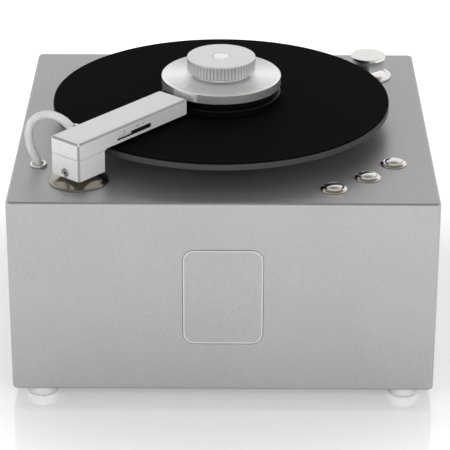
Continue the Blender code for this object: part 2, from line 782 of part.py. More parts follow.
def make_platter():
    """The platter with its hub, and the mat on it."""
    edge = PLATTER_RADIUS
    chamfer = PLATTER_CHAMFER
    turned(
        "platter",
        [
            (BORE_RADIUS, PLATTER_TOP),
            (edge - chamfer, PLATTER_TOP),
            (edge, PLATTER_TOP - chamfer),
            (edge, PLATTER_LIFT + chamfer),
            (edge - chamfer, PLATTER_LIFT),
            (HUB_RADIUS, PLATTER_LIFT),
            (HUB_RADIUS, HUB_LOW),
            (BORE_RADIUS, HUB_LOW),
        ],
        FINE,
        PLATTER_GREY,
        SPINDLE,
        ring=True,
    )
    mat = edge - MAT_EDGE_INSET
    turned(
        "platter_mat",
        [(BORE_RADIUS, MAT_TOP), (mat, MAT_TOP), (mat, MAT_LOW), (BORE_RADIUS, MAT_LOW)],
        FINE,
        MATT_BLACK,
        SPINDLE,
        ring=True,
    )


def make_spindle():
    """The spindle: record pin, drive flange and shaft, with the coupling and the motor's shaft below."""
    turned(
        "spindle",
        [
            (0.0, PIN_TIP_HEIGHT),
            (PIN_RADIUS - PIN_CHAMFER, PIN_TIP_HEIGHT),
            (PIN_RADIUS, PIN_TIP_HEIGHT - PIN_CHAMFER),
            (PIN_RADIUS, DRIVE_FLANGE_TOP),
            (DRIVE_FLANGE_RADIUS, DRIVE_FLANGE_TOP),
            (DRIVE_FLANGE_RADIUS, DRIVE_FLANGE_TOP - DRIVE_FLANGE_THICKNESS),
            (SPINDLE_RADIUS, DRIVE_FLANGE_TOP - DRIVE_FLANGE_THICKNESS),
            (SPINDLE_RADIUS, SPINDLE_LOW),
            (0.0, SPINDLE_LOW),
        ],
        SMALL,
        CHROME,
        SPINDLE,
    )
    shaft_low = COUPLING_LOW - MOTOR_SHAFT_LENGTH
    turned(
        "drive_coupling",
        [
            (SPINDLE_BORE_RADIUS, COUPLING_TOP),
            (COUPLING_RADIUS, COUPLING_TOP),
            (COUPLING_RADIUS, COUPLING_LOW),
            (MOTOR_SHAFT_RADIUS, COUPLING_LOW),
            (MOTOR_SHAFT_RADIUS, shaft_low),
            (0.0, shaft_low),
            (0.0, MOTOR_SHAFT_TOP),
            (SPINDLE_BORE_RADIUS, MOTOR_SHAFT_TOP),
        ],
        SMALL,
        STEEL,
        SPINDLE,
        ring=True,
    )


def make_bearings():
    """The housing under the casing's top, with a ball bearing at each end of its bore."""
    seat = BEARING_RADIUS + FIT
    narrow = BEARING_RADIUS - HOUSING_SHOULDER
    turned(
        "bearing_housing",
        [
            (seat, HOUSING_COLLAR_HEIGHT),
            (HOUSING_RADIUS, HOUSING_COLLAR_HEIGHT),
            (HOUSING_RADIUS, FLANGE_TOP),
            (HOUSING_FLANGE_RADIUS, FLANGE_TOP),
            (HOUSING_FLANGE_RADIUS, FLANGE_LOW),
            (HOUSING_RADIUS, FLANGE_LOW),
            (HOUSING_RADIUS, HOUSING_LOW),
            (seat, HOUSING_LOW),
            (seat, LOWER_BEARING_TOP + FIT),
            (narrow, LOWER_BEARING_TOP + FIT),
            (narrow, UPPER_BEARING_TOP - BEARING_WIDTH - FIT),
            (seat, UPPER_BEARING_TOP - BEARING_WIDTH - FIT),
        ],
        SMALL,
        STEEL,
        SPINDLE,
        ring=True,
    )
    for name, high in (("upper_bearing", UPPER_BEARING_TOP), ("lower_bearing", LOWER_BEARING_TOP)):
        low = high - BEARING_WIDTH
        ring = [
            (SPINDLE_BORE_RADIUS, high),
            (BEARING_RADIUS, high),
            (BEARING_RADIUS, low),
            (SPINDLE_BORE_RADIUS, low),
        ]
        turned(name, ring, SMALL, STEEL, SPINDLE, ring=True)


def make_platter_motor():
    """The gear motor, hung from the bearing housing by a bell-shaped bracket with two windows."""
    inside = BRACKET_RADIUS - BRACKET_WALL
    hole = COUPLING_RADIUS + FIT
    bracket = turned(
        "motor_bracket",
        [
            (inside, BRACKET_TOP),
            (HOUSING_FLANGE_RADIUS, BRACKET_TOP),
            (HOUSING_FLANGE_RADIUS, BRACKET_TOP - BRACKET_FLANGE),
            (BRACKET_RADIUS, BRACKET_TOP - BRACKET_FLANGE),
            (BRACKET_RADIUS, BRACKET_LOW),
            (hole, BRACKET_LOW),
            (hole, BRACKET_LOW + BRACKET_FLANGE),
            (inside, BRACKET_LOW + BRACKET_FLANGE),
        ],
        SMALL,
        STEEL,
        SPINDLE,
        ring=True,
    )
    across = BRACKET_WINDOW_WIDTH / 2
    reach = BRACKET_RADIUS + OVERRUN
    cut_box(
        bracket,
        (-reach, -across, BRACKET_LOW + BRACKET_WINDOW_MARGIN),
        (reach, across, BRACKET_TOP - BRACKET_WINDOW_MARGIN),
        SPINDLE,
    )
    shaft_low = COUPLING_LOW - MOTOR_SHAFT_LENGTH
    hole = MOTOR_SHAFT_RADIUS + FIT
    gearbox_low = GEARBOX_TOP - GEARBOX_HEIGHT
    turned(
        "platter_gearbox",
        [
            (hole, GEARBOX_TOP),
            (GEARBOX_RADIUS, GEARBOX_TOP),
            (GEARBOX_RADIUS, gearbox_low),
            (0.0, gearbox_low),
            (0.0, shaft_low - FIT),
            (hole, shaft_low - FIT),
        ],
        SMALL,
        STEEL,
        SPINDLE,
        ring=True,
    )
    high = gearbox_low - FIT
    low = high - MOTOR_HEIGHT
    turned(
        "platter_motor",
        [
            (0.0, high),
            (MOTOR_RADIUS, high),
            (MOTOR_RADIUS, low),
            (MOTOR_TERMINAL_RADIUS, low),
            (MOTOR_TERMINAL_RADIUS, low - MOTOR_TERMINAL_HEIGHT),
            (0.0, low - MOTOR_TERMINAL_HEIGHT),
        ],
        SMALL,
        STEEL,
        SPINDLE,
    )


def make_clamp():
    """The clamp: seal ring, disc and polished collar, then the fluted knob with its inlay."""
    turned(
        "clamp_seal",
        [
            (SEAL_BORE_RADIUS, SEAL_TOP),
            (SEAL_NECK_RADIUS, SEAL_TOP),
            (SEAL_NECK_RADIUS, SEAL_STEP),
            (CLAMP_RADIUS - SEAL_ROUNDING, SEAL_STEP),
            (CLAMP_RADIUS, SEAL_STEP - SEAL_ROUNDING),
            (CLAMP_RADIUS, SEAL_LOW + SEAL_ROUNDING),
            (CLAMP_RADIUS - SEAL_ROUNDING, SEAL_LOW),
            (SEAL_BORE_RADIUS, SEAL_LOW),
        ],
        MIDDLE,
        GLOSS_BLACK,
        SPINDLE,
        ring=True,
    )
    boss = SEAL_BORE_RADIUS - FIT
    turned(
        "clamp_disc",
        [
            (BORE_RADIUS, DISC_TOP),
            (CLAMP_RADIUS - CLAMP_CHAMFER, DISC_TOP),
            (CLAMP_RADIUS, DISC_TOP - CLAMP_CHAMFER),
            (CLAMP_RADIUS, DISC_LOW),
            (boss, DISC_LOW),
            (boss, DISC_LOW - CLAMP_BOSS_DROP),
            (BORE_RADIUS, DISC_LOW - CLAMP_BOSS_DROP),
        ],
        MIDDLE,
        SATIN,
        SPINDLE,
        ring=True,
    )
    collar_top = COLLAR_LOW + COLLAR_HEIGHT
    turned(
        "clamp_collar",
        [
            (BORE_RADIUS, collar_top),
            (COLLAR_RADIUS, collar_top),
            (COLLAR_RADIUS, COLLAR_LOW),
            (BORE_RADIUS, COLLAR_LOW),
        ],
        MIDDLE,
        CHROME,
        SPINDLE,
        ring=True,
    )
    outline = []
    for step in range(2 * KNOB_FLUTES):
        angle = math.pi * step / KNOB_FLUTES
        radius = KNOB_RADIUS - KNOB_FLUTE_DEPTH * (step % 2)
        outline.append((radius * math.cos(angle), radius * math.sin(angle)))
    knob = prism("clamp_knob", outline, KNOB_LOW, KNOB_TOP, SATIN, SPINDLE)
    seat = KNOB_TOP - INLAY_DEPTH
    cut_round(knob, (0.0, 0.0, 0.0), INLAY_RADIUS + FIT, seat, KNOB_TOP + OVERRUN, SPINDLE, COARSE)
    cut_round(knob, (0.0, 0.0, 0.0), BORE_RADIUS, KNOB_LOW - OVERRUN, PIN_TIP_HEIGHT + FIT, SPINDLE)
    turned(
        "knob_inlay",
        [(0.0, KNOB_TOP), (INLAY_RADIUS, KNOB_TOP), (INLAY_RADIUS, seat + FIT), (0.0, seat + FIT)],
        COARSE,
        CHROME,
        SPINDLE,
    )


def make_buttons():
    """Three push buttons: a bevelled bezel with a barrel through the casing, and a domed cap in it."""
    hole = CAP_RADIUS + FIT
    floor = BARREL_FLOOR - BEZEL_BARREL_LENGTH
    bezel = [
        (hole, BEZEL_HEIGHT),
        (BEZEL_RADIUS - BEZEL_BEVEL, BEZEL_HEIGHT),
        (BEZEL_RADIUS - BEZEL_BEVEL / 4, BEZEL_HEIGHT / 2),
        (BEZEL_RADIUS, FIT),
        (BEZEL_BARREL_RADIUS, FIT),
        (BEZEL_BARREL_RADIUS, -BEZEL_BARREL_LENGTH),
        (0.0, -BEZEL_BARREL_LENGTH),
        (0.0, floor),
        (hole, floor),
    ]
    high = BEZEL_HEIGHT + CAP_STAND
    low = BEZEL_HEIGHT - CAP_LENGTH
    cap = [
        (0.0, high + CAP_CROWN),
        (CAP_RADIUS / 2, high + CAP_CROWN * 3 / 4),
        (CAP_RADIUS, high),
        (CAP_RADIUS, low),
        (0.0, low),
    ]
    for place_number, spot in enumerate(BUTTON_PLACES, 1):
        axis = empty(f"button_{place_number}_axis", spot, TOP)
        turned(f"button_bezel_{place_number}", bezel, COARSE, CHROME, axis, ring=True)
        turned(f"button_cap_{place_number}", cap, COARSE, CHROME, axis)


def make_rear_post():
    """The polished spool at the rear corner, with its stud through the casing."""
    waist_low = POST_BASE_THICKNESS + FIT
    profile = [
        (0.0, POST_HEIGHT),
        (POST_TOP_RADIUS, POST_HEIGHT),
        (POST_TOP_RADIUS, POST_HEIGHT - POST_LIP),
        (POST_WAIST_RADIUS, POST_HEIGHT - 2 * POST_LIP),
        (POST_WAIST_RADIUS, waist_low + POST_COVE),
        (POST_WAIST_RADIUS + POST_COVE / 4, waist_low + POST_COVE / 4),
        (POST_WAIST_RADIUS + POST_COVE, waist_low),
        (POST_BASE_RADIUS, POST_BASE_THICKNESS),
        (POST_BASE_RADIUS, FIT),
        (POST_STUD_RADIUS, FIT),
        (POST_STUD_RADIUS, -POST_STUD_LENGTH),
        (0.0, -POST_STUD_LENGTH),
    ]
    centre = empty("rear_post_centre", POST_PLACE, TOP)
    turned("rear_post", profile, COARSE, CHROME, centre)


def make_arm_mount():
    """What carries the arm: flange, bush, turning post, clip and the lift spring in the post's head."""
    bore = ARM_POST_RADIUS + FIT
    rise = ARM_BLOCK_LOW - ARM_LIFT_TRAVEL - FIT
    lip = ARM_FLANGE_RIM + ARM_FLANGE_LIP
    span = ARM_FLANGE_RADIUS - ARM_FLANGE_LIP - ARM_FLANGE_NECK
    sweep = []
    for step in range(ARM_FLANGE_CURVE_STEPS + 1):
        part = step / ARM_FLANGE_CURVE_STEPS
        sweep.append((ARM_FLANGE_NECK + span * part, lip + (rise - lip) * (1 - part) ** 2))
    turned(
        "arm_flange",
        [
            (bore, rise),
            *sweep,
            (ARM_FLANGE_RADIUS, ARM_FLANGE_RIM),
            (ARM_FLANGE_RADIUS, FIT),
            (bore, FIT),
        ],
        MIDDLE,
        CHROME,
        ARM,
        ring=True,
    )
    under = -CASE_WALL - FIT
    turned(
        "arm_bush",
        [
            (bore, 0.0),
            (BUSH_RADIUS, 0.0),
            (BUSH_RADIUS, under),
            (BUSH_FLANGE_RADIUS, under),
            (BUSH_FLANGE_RADIUS, under - BUSH_FLANGE_THICKNESS),
            (BUSH_RADIUS, under - BUSH_FLANGE_THICKNESS),
            (BUSH_RADIUS, -BUSH_LENGTH),
            (bore, -BUSH_LENGTH),
        ],
        SMALL,
        STEEL,
        ARM,
        ring=True,
    )
    clip_top = -BUSH_LENGTH - FIT
    clip_low = clip_top - CLIP_THICKNESS
    groove = ARM_POST_RADIUS - CLIP_GROOVE
    turned(
        "arm_post",
        [
            (SPRING_BORE_RADIUS, ARM_POST_TOP),
            (ARM_POST_RADIUS, ARM_POST_TOP),
            (ARM_POST_RADIUS, clip_top),
            (groove, clip_top),
            (groove, clip_low - 2 * FIT),
            (ARM_POST_RADIUS, clip_low - 2 * FIT),
            (ARM_POST_RADIUS, -ARM_POST_TAIL),
            (0.0, -ARM_POST_TAIL),
            (0.0, SPRING_SEAT),
            (SPRING_BORE_RADIUS, SPRING_SEAT),
        ],
        SMALL,
        STEEL,
        ARM,
        ring=True,
    )
    turned(
        "post_clip",
        [
            (groove + FIT, clip_top - FIT),
            (CLIP_RADIUS, clip_top - FIT),
            (CLIP_RADIUS, clip_low - FIT),
            (groove + FIT, clip_low - FIT),
        ],
        SMALL,
        STEEL,
        ARM,
        ring=True,
    )
    low = SPRING_SEAT + SPRING_WIRE_RADIUS + FIT
    high = ARM_PARTING - FIT - SPRING_WIRE_RADIUS
    count = SPRING_TURNS * SPRING_POINTS_A_TURN
    coil = []
    for step in range(count + 1):
        angle = 2 * math.pi * step / SPRING_POINTS_A_TURN
        height = low + (high - low) * step / count
        coil.append(Vector((SPRING_RADIUS * math.cos(angle), SPRING_RADIUS * math.sin(angle), height)))
    print("lift spring gap between turns, mm:", round(1000 * coil_gap(coil, SPRING_WIRE_RADIUS), 2))
    tube("lift_spring", coil, SPRING_WIRE_RADIUS, STEEL, ARM, 1)


def coil_gap(coil, wire):
    """The least gap between two turns of a coil, measured between its points."""
    skip = SPRING_POINTS_A_TURN // 2
    return min(
        (second - first).length - 2 * wire
        for number, first in enumerate(coil)
        for second in coil[number + skip:]
    )


def make_arm():
    """The arm: lower block, upper beam with its suction slit and side slot, pads, screw and slider."""
    half = ARM_WIDTH / 2
    block = box("arm_block", (-half, -half, ARM_BLOCK_LOW), (half, half, ARM_PARTING - FIT), SATIN, ARM)
    chamfer_uprights(block)
    bore = ARM_POST_RADIUS + FIT
    cut_round(block, (0.0, 0.0, 0.0), bore, ARM_BLOCK_LOW - OVERRUN, ARM_PARTING + OVERRUN, ARM, COARSE)
    screw_end = -half + SET_SCREW_INSET
    cut_round(
        block,
        (0.0, 0.0, SET_SCREW_HEIGHT),
        SET_SCREW_RADIUS + FIT,
        -half - OVERRUN,
        -ARM_POST_RADIUS,
        ARM,
        axis="X",
    )
    inner = screw_end + SET_SCREW_LENGTH
    screw = turned(
        "arm_set_screw",
        [(0.0, inner), (SET_SCREW_RADIUS, inner), (SET_SCREW_RADIUS, screw_end), (0.0, screw_end)],
        SMALL,
        STEEL,
        ARM,
        axis="X",
        at=(0.0, 0.0, SET_SCREW_HEIGHT),
    )
    cut_round(
        screw,
        (0.0, 0.0, SET_SCREW_HEIGHT),
        SOCKET_RADIUS,
        screw_end - OVERRUN,
        screw_end + SOCKET_DEPTH,
        ARM,
        HEXAGON,
        axis="X",
    )

    beam = box("arm_beam", (-half, -half, ARM_PARTING), (ARM_REACH, half, ARM_TOP), SATIN, ARM)
    chamfer_uprights(beam, top=True)
    cut_box(
        beam,
        (half + FIT, -half - OVERRUN, ARM_PARTING - OVERRUN),
        (ARM_REACH + OVERRUN, half + OVERRUN, ARM_UNDERSIDE),
        ARM,
    )
    channel = CHANNEL_WIDTH / 2
    cut_box(
        beam,
        (CHANNEL_START, -channel, ARM_UNDERSIDE - OVERRUN),
        (ARM_REACH - CHANNEL_END_MARGIN, channel, ARM_UNDERSIDE + CHANNEL_DEPTH),
        ARM,
    )
    cut_box(
        beam,
        (SLOT_START, -half - OVERRUN, SLOT_LOW),
        (SLOT_START + SLOT_LENGTH, -half + SLOT_DEPTH, SLOT_LOW + SLOT_WIDTH),
        ARM,
    )
    cut_round(
        beam,
        (SPIGOT_ALONG, 0.0, SPIGOT_HEIGHT),
        SPIGOT_TAIL_RADIUS + FIT,
        half - SPIGOT_TAIL_LENGTH - FIT,
        half + OVERRUN,
        ARM,
        axis="Y",
    )
    box(
        "size_slider",
        (SLOT_START + FIT, -half + SLIDER_INSET, SLOT_LOW + FIT),
        (SLOT_START + FIT + SLIDER_LENGTH, -half + SLOT_DEPTH - FIT, SLOT_LOW + SLOT_WIDTH - FIT),
        CHROME,
        ARM,
    )
    pad_top = ARM_UNDERSIDE - FIT
    for name, side in (("velvet_pad_near", -1), ("velvet_pad_far", 1)):
        edges = sorted((side * (channel + FIT), side * (channel + FIT + PAD_WIDTH)))
        box(
            name,
            (CHANNEL_START, edges[0], pad_top - PAD_THICKNESS),
            (ARM_REACH - CHANNEL_END_MARGIN, edges[1], pad_top),
            VELVET,
            ARM,
        )
    outer = half + FIT + SPIGOT_LENGTH
    turned(
        "hose_spigot",
        [
            (0.0, outer),
            (SPIGOT_RADIUS, outer),
            (SPIGOT_RADIUS, half + FIT),
            (SPIGOT_TAIL_RADIUS, half + FIT),
            (SPIGOT_TAIL_RADIUS, half - SPIGOT_TAIL_LENGTH),
            (0.0, half - SPIGOT_TAIL_LENGTH),
        ],
        SMALL,
        CHROME,
        ARM,
        axis="Y",
        at=(SPIGOT_ALONG, 0.0, SPIGOT_HEIGHT),
    )


def chamfer_uprights(piece, top=False):
    """Cuts a flat chamfer on a box's upright edges and, if asked, round its top."""
    shape = bmesh.new()
    shape.from_mesh(piece.data)
    highest = max(vert.co.z for vert in shape.verts)
    edges = [
        edge
        for edge in shape.edges
        if edge.verts[0].co.x == edge.verts[1].co.x and edge.verts[0].co.y == edge.verts[1].co.y
        or top and edge.verts[0].co.z == highest == edge.verts[1].co.z
    ]
    bmesh.ops.bevel(shape, geom=edges, offset=ARM_CHAMFER, segments=1, affect="EDGES")
    shape.to_mesh(piece.data)
    shape.free()


def spigot_mouth():
    """The middle of the spigot's end face, where the hose meets the arm, and the way the hose leaves."""
    out = ARM_WIDTH / 2 + FIT + SPIGOT_LENGTH + FIT
    turn = Matrix.Rotation(ARM_HEADING, 3, "Z")
    mouth = Vector(ARM_PLACE) + turn @ Vector((SPIGOT_ALONG, out, 0.0))
    mouth.z = SPIGOT_HEIGHT
    return mouth, turn @ Vector((0.0, 1.0, 0.0))


def make_hoses():
    """The hose in its arch over the casing, its grommet, and the two hoses inside."""
    bore = HOSE_RADIUS + FIT
    centre = empty("hose_grommet_centre", GROMMET_PLACE, TOP)
    lip = GROMMET_RADIUS - GROMMET_MOUTH_RADIUS
    turned(
        "hose_grommet",
        [
            (GROMMET_MOUTH_RADIUS, GROMMET_HEIGHT - lip / 4),
            (GROMMET_MOUTH_RADIUS + lip / 4, GROMMET_HEIGHT),
            (GROMMET_RADIUS - lip / 2, GROMMET_HEIGHT),
            (GROMMET_RADIUS, GROMMET_HEIGHT - lip / 2),
            (GROMMET_RADIUS, FIT),
            (GROMMET_NECK_RADIUS, FIT),
            (GROMMET_NECK_RADIUS, -GROMMET_NECK_LENGTH),
            (bore, -GROMMET_NECK_LENGTH),
            (bore, 0.0),
            (GROMMET_MOUTH_RADIUS, 0.0),
        ],
        COARSE,
        CHROME,
        centre,
        ring=True,
    )
    mouth, out = spigot_mouth()
    route = [Vector(spot) for spot in HOSE_ROUTE] + [mouth + out * SPIGOT_STRAIGHT, mouth]
    tube("suction_hose", smooth_route(route, HOSE_SAMPLE_COUNT), HOSE_RADIUS, CLEAR_HOSE, TOP, 2)
    start = (GROMMET_PLACE[0], GROMMET_PLACE[1], -HOSE_START_DROP)
    route = carried_route(INNER_HOSE_ROUTE, start, (*TANK_INLET, TANK_RIM - TANK_HOSE_DIP))
    tube("inner_hose", smooth_route(route, HOSE_SAMPLE_COUNT), HOSE_RADIUS, CLEAR_HOSE, TOP, 1)
    end = (
        BLOWER_X - BLOWER_INLET_SIDE_OFFSET,
        BLOWER_Y + BLOWER_INLET_BACK_OFFSET,
        BLOWER_LOW + BLOWER_HEIGHT - BLOWER_HOSE_DIP,
    )
    route = carried_route(PUMP_HOSE_ROUTE, (*TANK_OUTLET, TANK_RIM - TANK_HOSE_DIP), end)
    tube("pump_hose", smooth_route(route, HOSE_SAMPLE_COUNT), PUMP_HOSE_RADIUS, BLACK_RUBBER, TOP, 1)


def make_tank():
    """The waste tank on the tray, with its lid."""
    low, high = TOP_OF_TRAY + FIT, TANK_RIM
    tank = box("waste_tank", (TANK_LEFT, TANK_FRONT, low), (TANK_RIGHT, TANK_BACK, high), TANK_PLASTIC, TOP)
    cut_box(
        tank,
        (TANK_LEFT + TANK_WALL, TANK_FRONT + TANK_WALL, low + TANK_WALL),
        (TANK_RIGHT - TANK_WALL, TANK_BACK - TANK_WALL, high + OVERRUN),
        TOP,
    )
    tail = DRAIN_TAIL_RADIUS + FIT
    cut_round(
        tank,
        (DRAIN_X, 0.0, DRAIN_HEIGHT),
        tail,
        TANK_BACK - TANK_WALL - OVERRUN,
        TANK_BACK + OVERRUN,
        TOP,
        axis="Y",
    )
    base = high + FIT
    lid_top = base + LID_THICKNESS
    lid = box("tank_lid", (TANK_LEFT, TANK_FRONT, base), (TANK_RIGHT, TANK_BACK, lid_top), TANK_PLASTIC, TOP)
    inset = TANK_WALL + FIT
    lip = box(
        "tank_lid_lip",
        (TANK_LEFT + inset, TANK_FRONT + inset, base - LID_LIP),
        (TANK_RIGHT - inset, TANK_BACK - inset, base + LID_THICKNESS / 2),
        None,
        TOP,
    )
    add_shape(lid, lip)
    for spot, radius in (
        ((*TANK_INLET, 0.0), HOSE_RADIUS),
        ((*TANK_OUTLET, 0.0), PUMP_HOSE_RADIUS),
    ):
        cut_round(lid, spot, radius + FIT, base - LID_LIP - OVERRUN, base + LID_THICKNESS + OVERRUN, TOP)


def duct_middle():
    """Height of the exhaust duct's centre line."""
    return BLOWER_LOW + BLOWER_HEIGHT / 2


def make_blower():
    """The vacuum blower: housing with its exhaust duct, impeller, motor and rubber mount."""
    low = BLOWER_LOW
    high = BLOWER_LOW + BLOWER_HEIGHT
    shaft_hole = BLOWER_SHAFT_RADIUS + FIT
    inside = BLOWER_RADIUS - BLOWER_WALL
    housing = turned(
        "blower_housing",
        [
            (shaft_hole, high),
            (BLOWER_RADIUS, high),
            (BLOWER_RADIUS, low),
            (BLOWER_EYE_RADIUS, low),
            (BLOWER_EYE_RADIUS, low + BLOWER_WALL),
            (inside, low + BLOWER_WALL),
            (inside, high - BLOWER_WALL),
            (shaft_hole, high - BLOWER_WALL),
        ],
        COARSE,
        BLACK_PAINT,
        BLOWER,
        ring=True,
    )
    across, tall = DUCT_WIDTH / 2, DUCT_HEIGHT / 2
    middle = duct_middle()
    start = inside - BLOWER_WALL
    end = PANEL_INNER - FIT - BLOWER_Y
    duct = box("blower_duct", (-across, start, middle - tall), (across, end, middle + tall), None, BLOWER)
    hollow = (across - DUCT_WALL, tall - DUCT_WALL)
    add_shape(housing, duct)
    cut_box(
        housing,
        (-hollow[0], start - BLOWER_WALL, middle - hollow[1]),
        (hollow[0], end + OVERRUN, middle + hollow[1]),
        BLOWER,
    )
    inlet = (-BLOWER_INLET_SIDE_OFFSET, BLOWER_INLET_BACK_OFFSET, 0.0)
    cut_round(housing, inlet, PUMP_HOSE_RADIUS + FIT, high - BLOWER_WALL - OVERRUN, high + OVERRUN, BLOWER)

    plate_low = low + BLOWER_WALL + IMPELLER_CLEARANCE
    plate_top = plate_low + IMPELLER_PLATE
    shaft_top = high + BLOWER_SHAFT_GRIP
    vane_top = plate_top + VANE_HEIGHT
    impeller = turned(
        "blower_impeller",
        [
            (0.0, shaft_top),
            (BLOWER_SHAFT_RADIUS, shaft_top),
            (BLOWER_SHAFT_RADIUS, vane_top),
            (IMPELLER_HUB_RADIUS, vane_top),
            (IMPELLER_HUB_RADIUS, plate_top),
            (IMPELLER_RADIUS, plate_top),
            (IMPELLER_RADIUS, plate_low),
            (0.0, plate_low),
        ],
        SMALL,
        STEEL,
        BLOWER,
    )
    star = []
    inner = IMPELLER_HUB_RADIUS - VANE_THICKNESS
    outer = IMPELLER_RADIUS - VANE_THICKNESS
    lean = math.pi / IMPELLER_VANES
    for vane in range(IMPELLER_VANES):
        angle = 2 * lean * vane
        thin = VANE_THICKNESS / 2
        tip = angle + lean
        corners = ((inner, angle, -thin), (outer, tip, -thin), (outer, tip, thin), (inner, angle, thin))
        for radius, turn, side in corners:
            star.append((
                radius * math.cos(turn) - side * math.sin(turn),
                radius * math.sin(turn) + side * math.cos(turn),
            ))
    vanes = prism("blower_vanes", star, (plate_low + plate_top) / 2, vane_top - FIT, None, BLOWER)
    add_shape(impeller, vanes)

    motor_low = high + FIT
    motor_top = motor_low + BLOWER_MOTOR_HEIGHT
    grip = shaft_top + FIT
    turned(
        "blower_motor",
        [
            (0.0, motor_top + BLOWER_CAP_HEIGHT),
            (BLOWER_CAP_RADIUS, motor_top + BLOWER_CAP_HEIGHT),
            (BLOWER_CAP_RADIUS, motor_top),
            (BLOWER_MOTOR_RADIUS, motor_top),
            (BLOWER_MOTOR_RADIUS, motor_low),
            (shaft_hole, motor_low),
            (shaft_hole, grip),
            (0.0, grip),
        ],
        SMALL,
        STEEL,
        BLOWER,
    )
    mount_low = TOP_OF_TRAY + FIT
    turned(
        "blower_mount",
        [
            (BLOWER_RADIUS - MOUNT_WIDTH, low - FIT),
            (BLOWER_RADIUS, low - FIT),
            (BLOWER_RADIUS, mount_low),
            (BLOWER_RADIUS - MOUNT_WIDTH, mount_low),
        ],
        COARSE,
        BLACK_RUBBER,
        BLOWER,
        ring=True,
    )


def make_inlet_and_switch():
    """The mains inlet with its three pins, and the power switch with its rocker."""
    face = PANEL_OUTER + FIT
    front = face + FITTING_FLANGE_THICKNESS
    back = face - INLET_BODY_DEPTH
    half_w, half_h = INLET_FLANGE_WIDTH / 2, INLET_FLANGE_HEIGHT / 2
    spot = empty("inlet_centre", (INLET_X, 0.0, FITTINGS_HEIGHT), TOP)
    inlet = box("mains_inlet", (-half_w, face, -half_h), (half_w, front, half_h), BLACK_PLASTIC, spot)
    body_w, body_h = INLET_BODY_WIDTH / 2, INLET_BODY_HEIGHT / 2
    middle = (face + front) / 2
    body = box("inlet_body", (-body_w, back, -body_h), (body_w, middle, body_h), None, spot)
    add_shape(inlet, body)
    cavity_w, cavity_h = INLET_CAVITY_WIDTH / 2, INLET_CAVITY_HEIGHT / 2
    floor = front - INLET_CAVITY_DEPTH
    cut_box(inlet, (-cavity_w, floor, -cavity_h), (cavity_w, front + OVERRUN, cavity_h), spot)
    for number, (across, rise) in enumerate((
        (-INLET_PIN_SPACING, -INLET_PIN_RISE),
        (0.0, INLET_PIN_RISE),
        (INLET_PIN_SPACING, -INLET_PIN_RISE),
    )):
        pin = box(
            f"inlet_pin_{number}",
            (across - INLET_PIN_WIDTH / 2, floor - OVERRUN, rise - INLET_PIN_HEIGHT / 2),
            (across + INLET_PIN_WIDTH / 2, floor + INLET_PIN_LENGTH, rise + INLET_PIN_HEIGHT / 2),
            None,
            spot,
        )
        add_shape(inlet, pin)

    pivot = face + ROCKER_PEAK - ROCKER_PIVOT_DEPTH
    hinge = empty("rocker_pivot", (SWITCH_X, pivot, FITTINGS_HEIGHT), TOP)
    wide, tall = SWITCH_WIDTH / 2, SWITCH_HEIGHT / 2
    rim = face - pivot
    frame = box("switch_frame", (-wide, rim, -tall), (wide, front - pivot, tall), BLACK_PLASTIC, hinge)
    body_w, body_h = wide - SWITCH_BORDER / 2, tall - SWITCH_BORDER / 2
    deep = rim - SWITCH_BODY_DEPTH
    body = box("switch_body", (-body_w, deep, -body_h), (body_w, middle - pivot, body_h), None, hinge)
    add_shape(frame, body)
    open_w, open_h = wide - SWITCH_BORDER, tall - SWITCH_BORDER
    pocket = -ROCKER_DEPTH - SWITCH_BORDER
    cut_box(frame, (-open_w, pocket, -open_h), (open_w, front - pivot + OVERRUN, open_h), hinge)
    rocker_w, rocker_h = open_w - FIT, open_h - 4 * FIT
    proud = front - pivot + ROCKER_PEAK
    dip = front - pivot + ROCKER_PEAK * ROCKER_TILT_SHARE
    prism_yz(
        "power_rocker",
        [
            (-rocker_h, proud),
            (0.0, dip),
            (rocker_h, dip),
            (rocker_h - SWITCH_BORDER, -ROCKER_DEPTH / 2),
            (0.0, -ROCKER_DEPTH),
            (SWITCH_BORDER - rocker_h, -ROCKER_DEPTH / 2),
        ],
        rocker_w,
        BLACK_PLASTIC,
        hinge,
    )


def prism_yz(name, outline, half_width, look, parent):
    """A (height, depth) outline given thickness across X."""
    flat = [(depth, height) for height, depth in outline]
    made = prism(name, flat, -half_width, half_width, look, parent)
    made.data.transform(Matrix(((0, 0, 1, 0), (1, 0, 0, 0), (0, 1, 0, 0), (0, 0, 0, 1))))
    return made


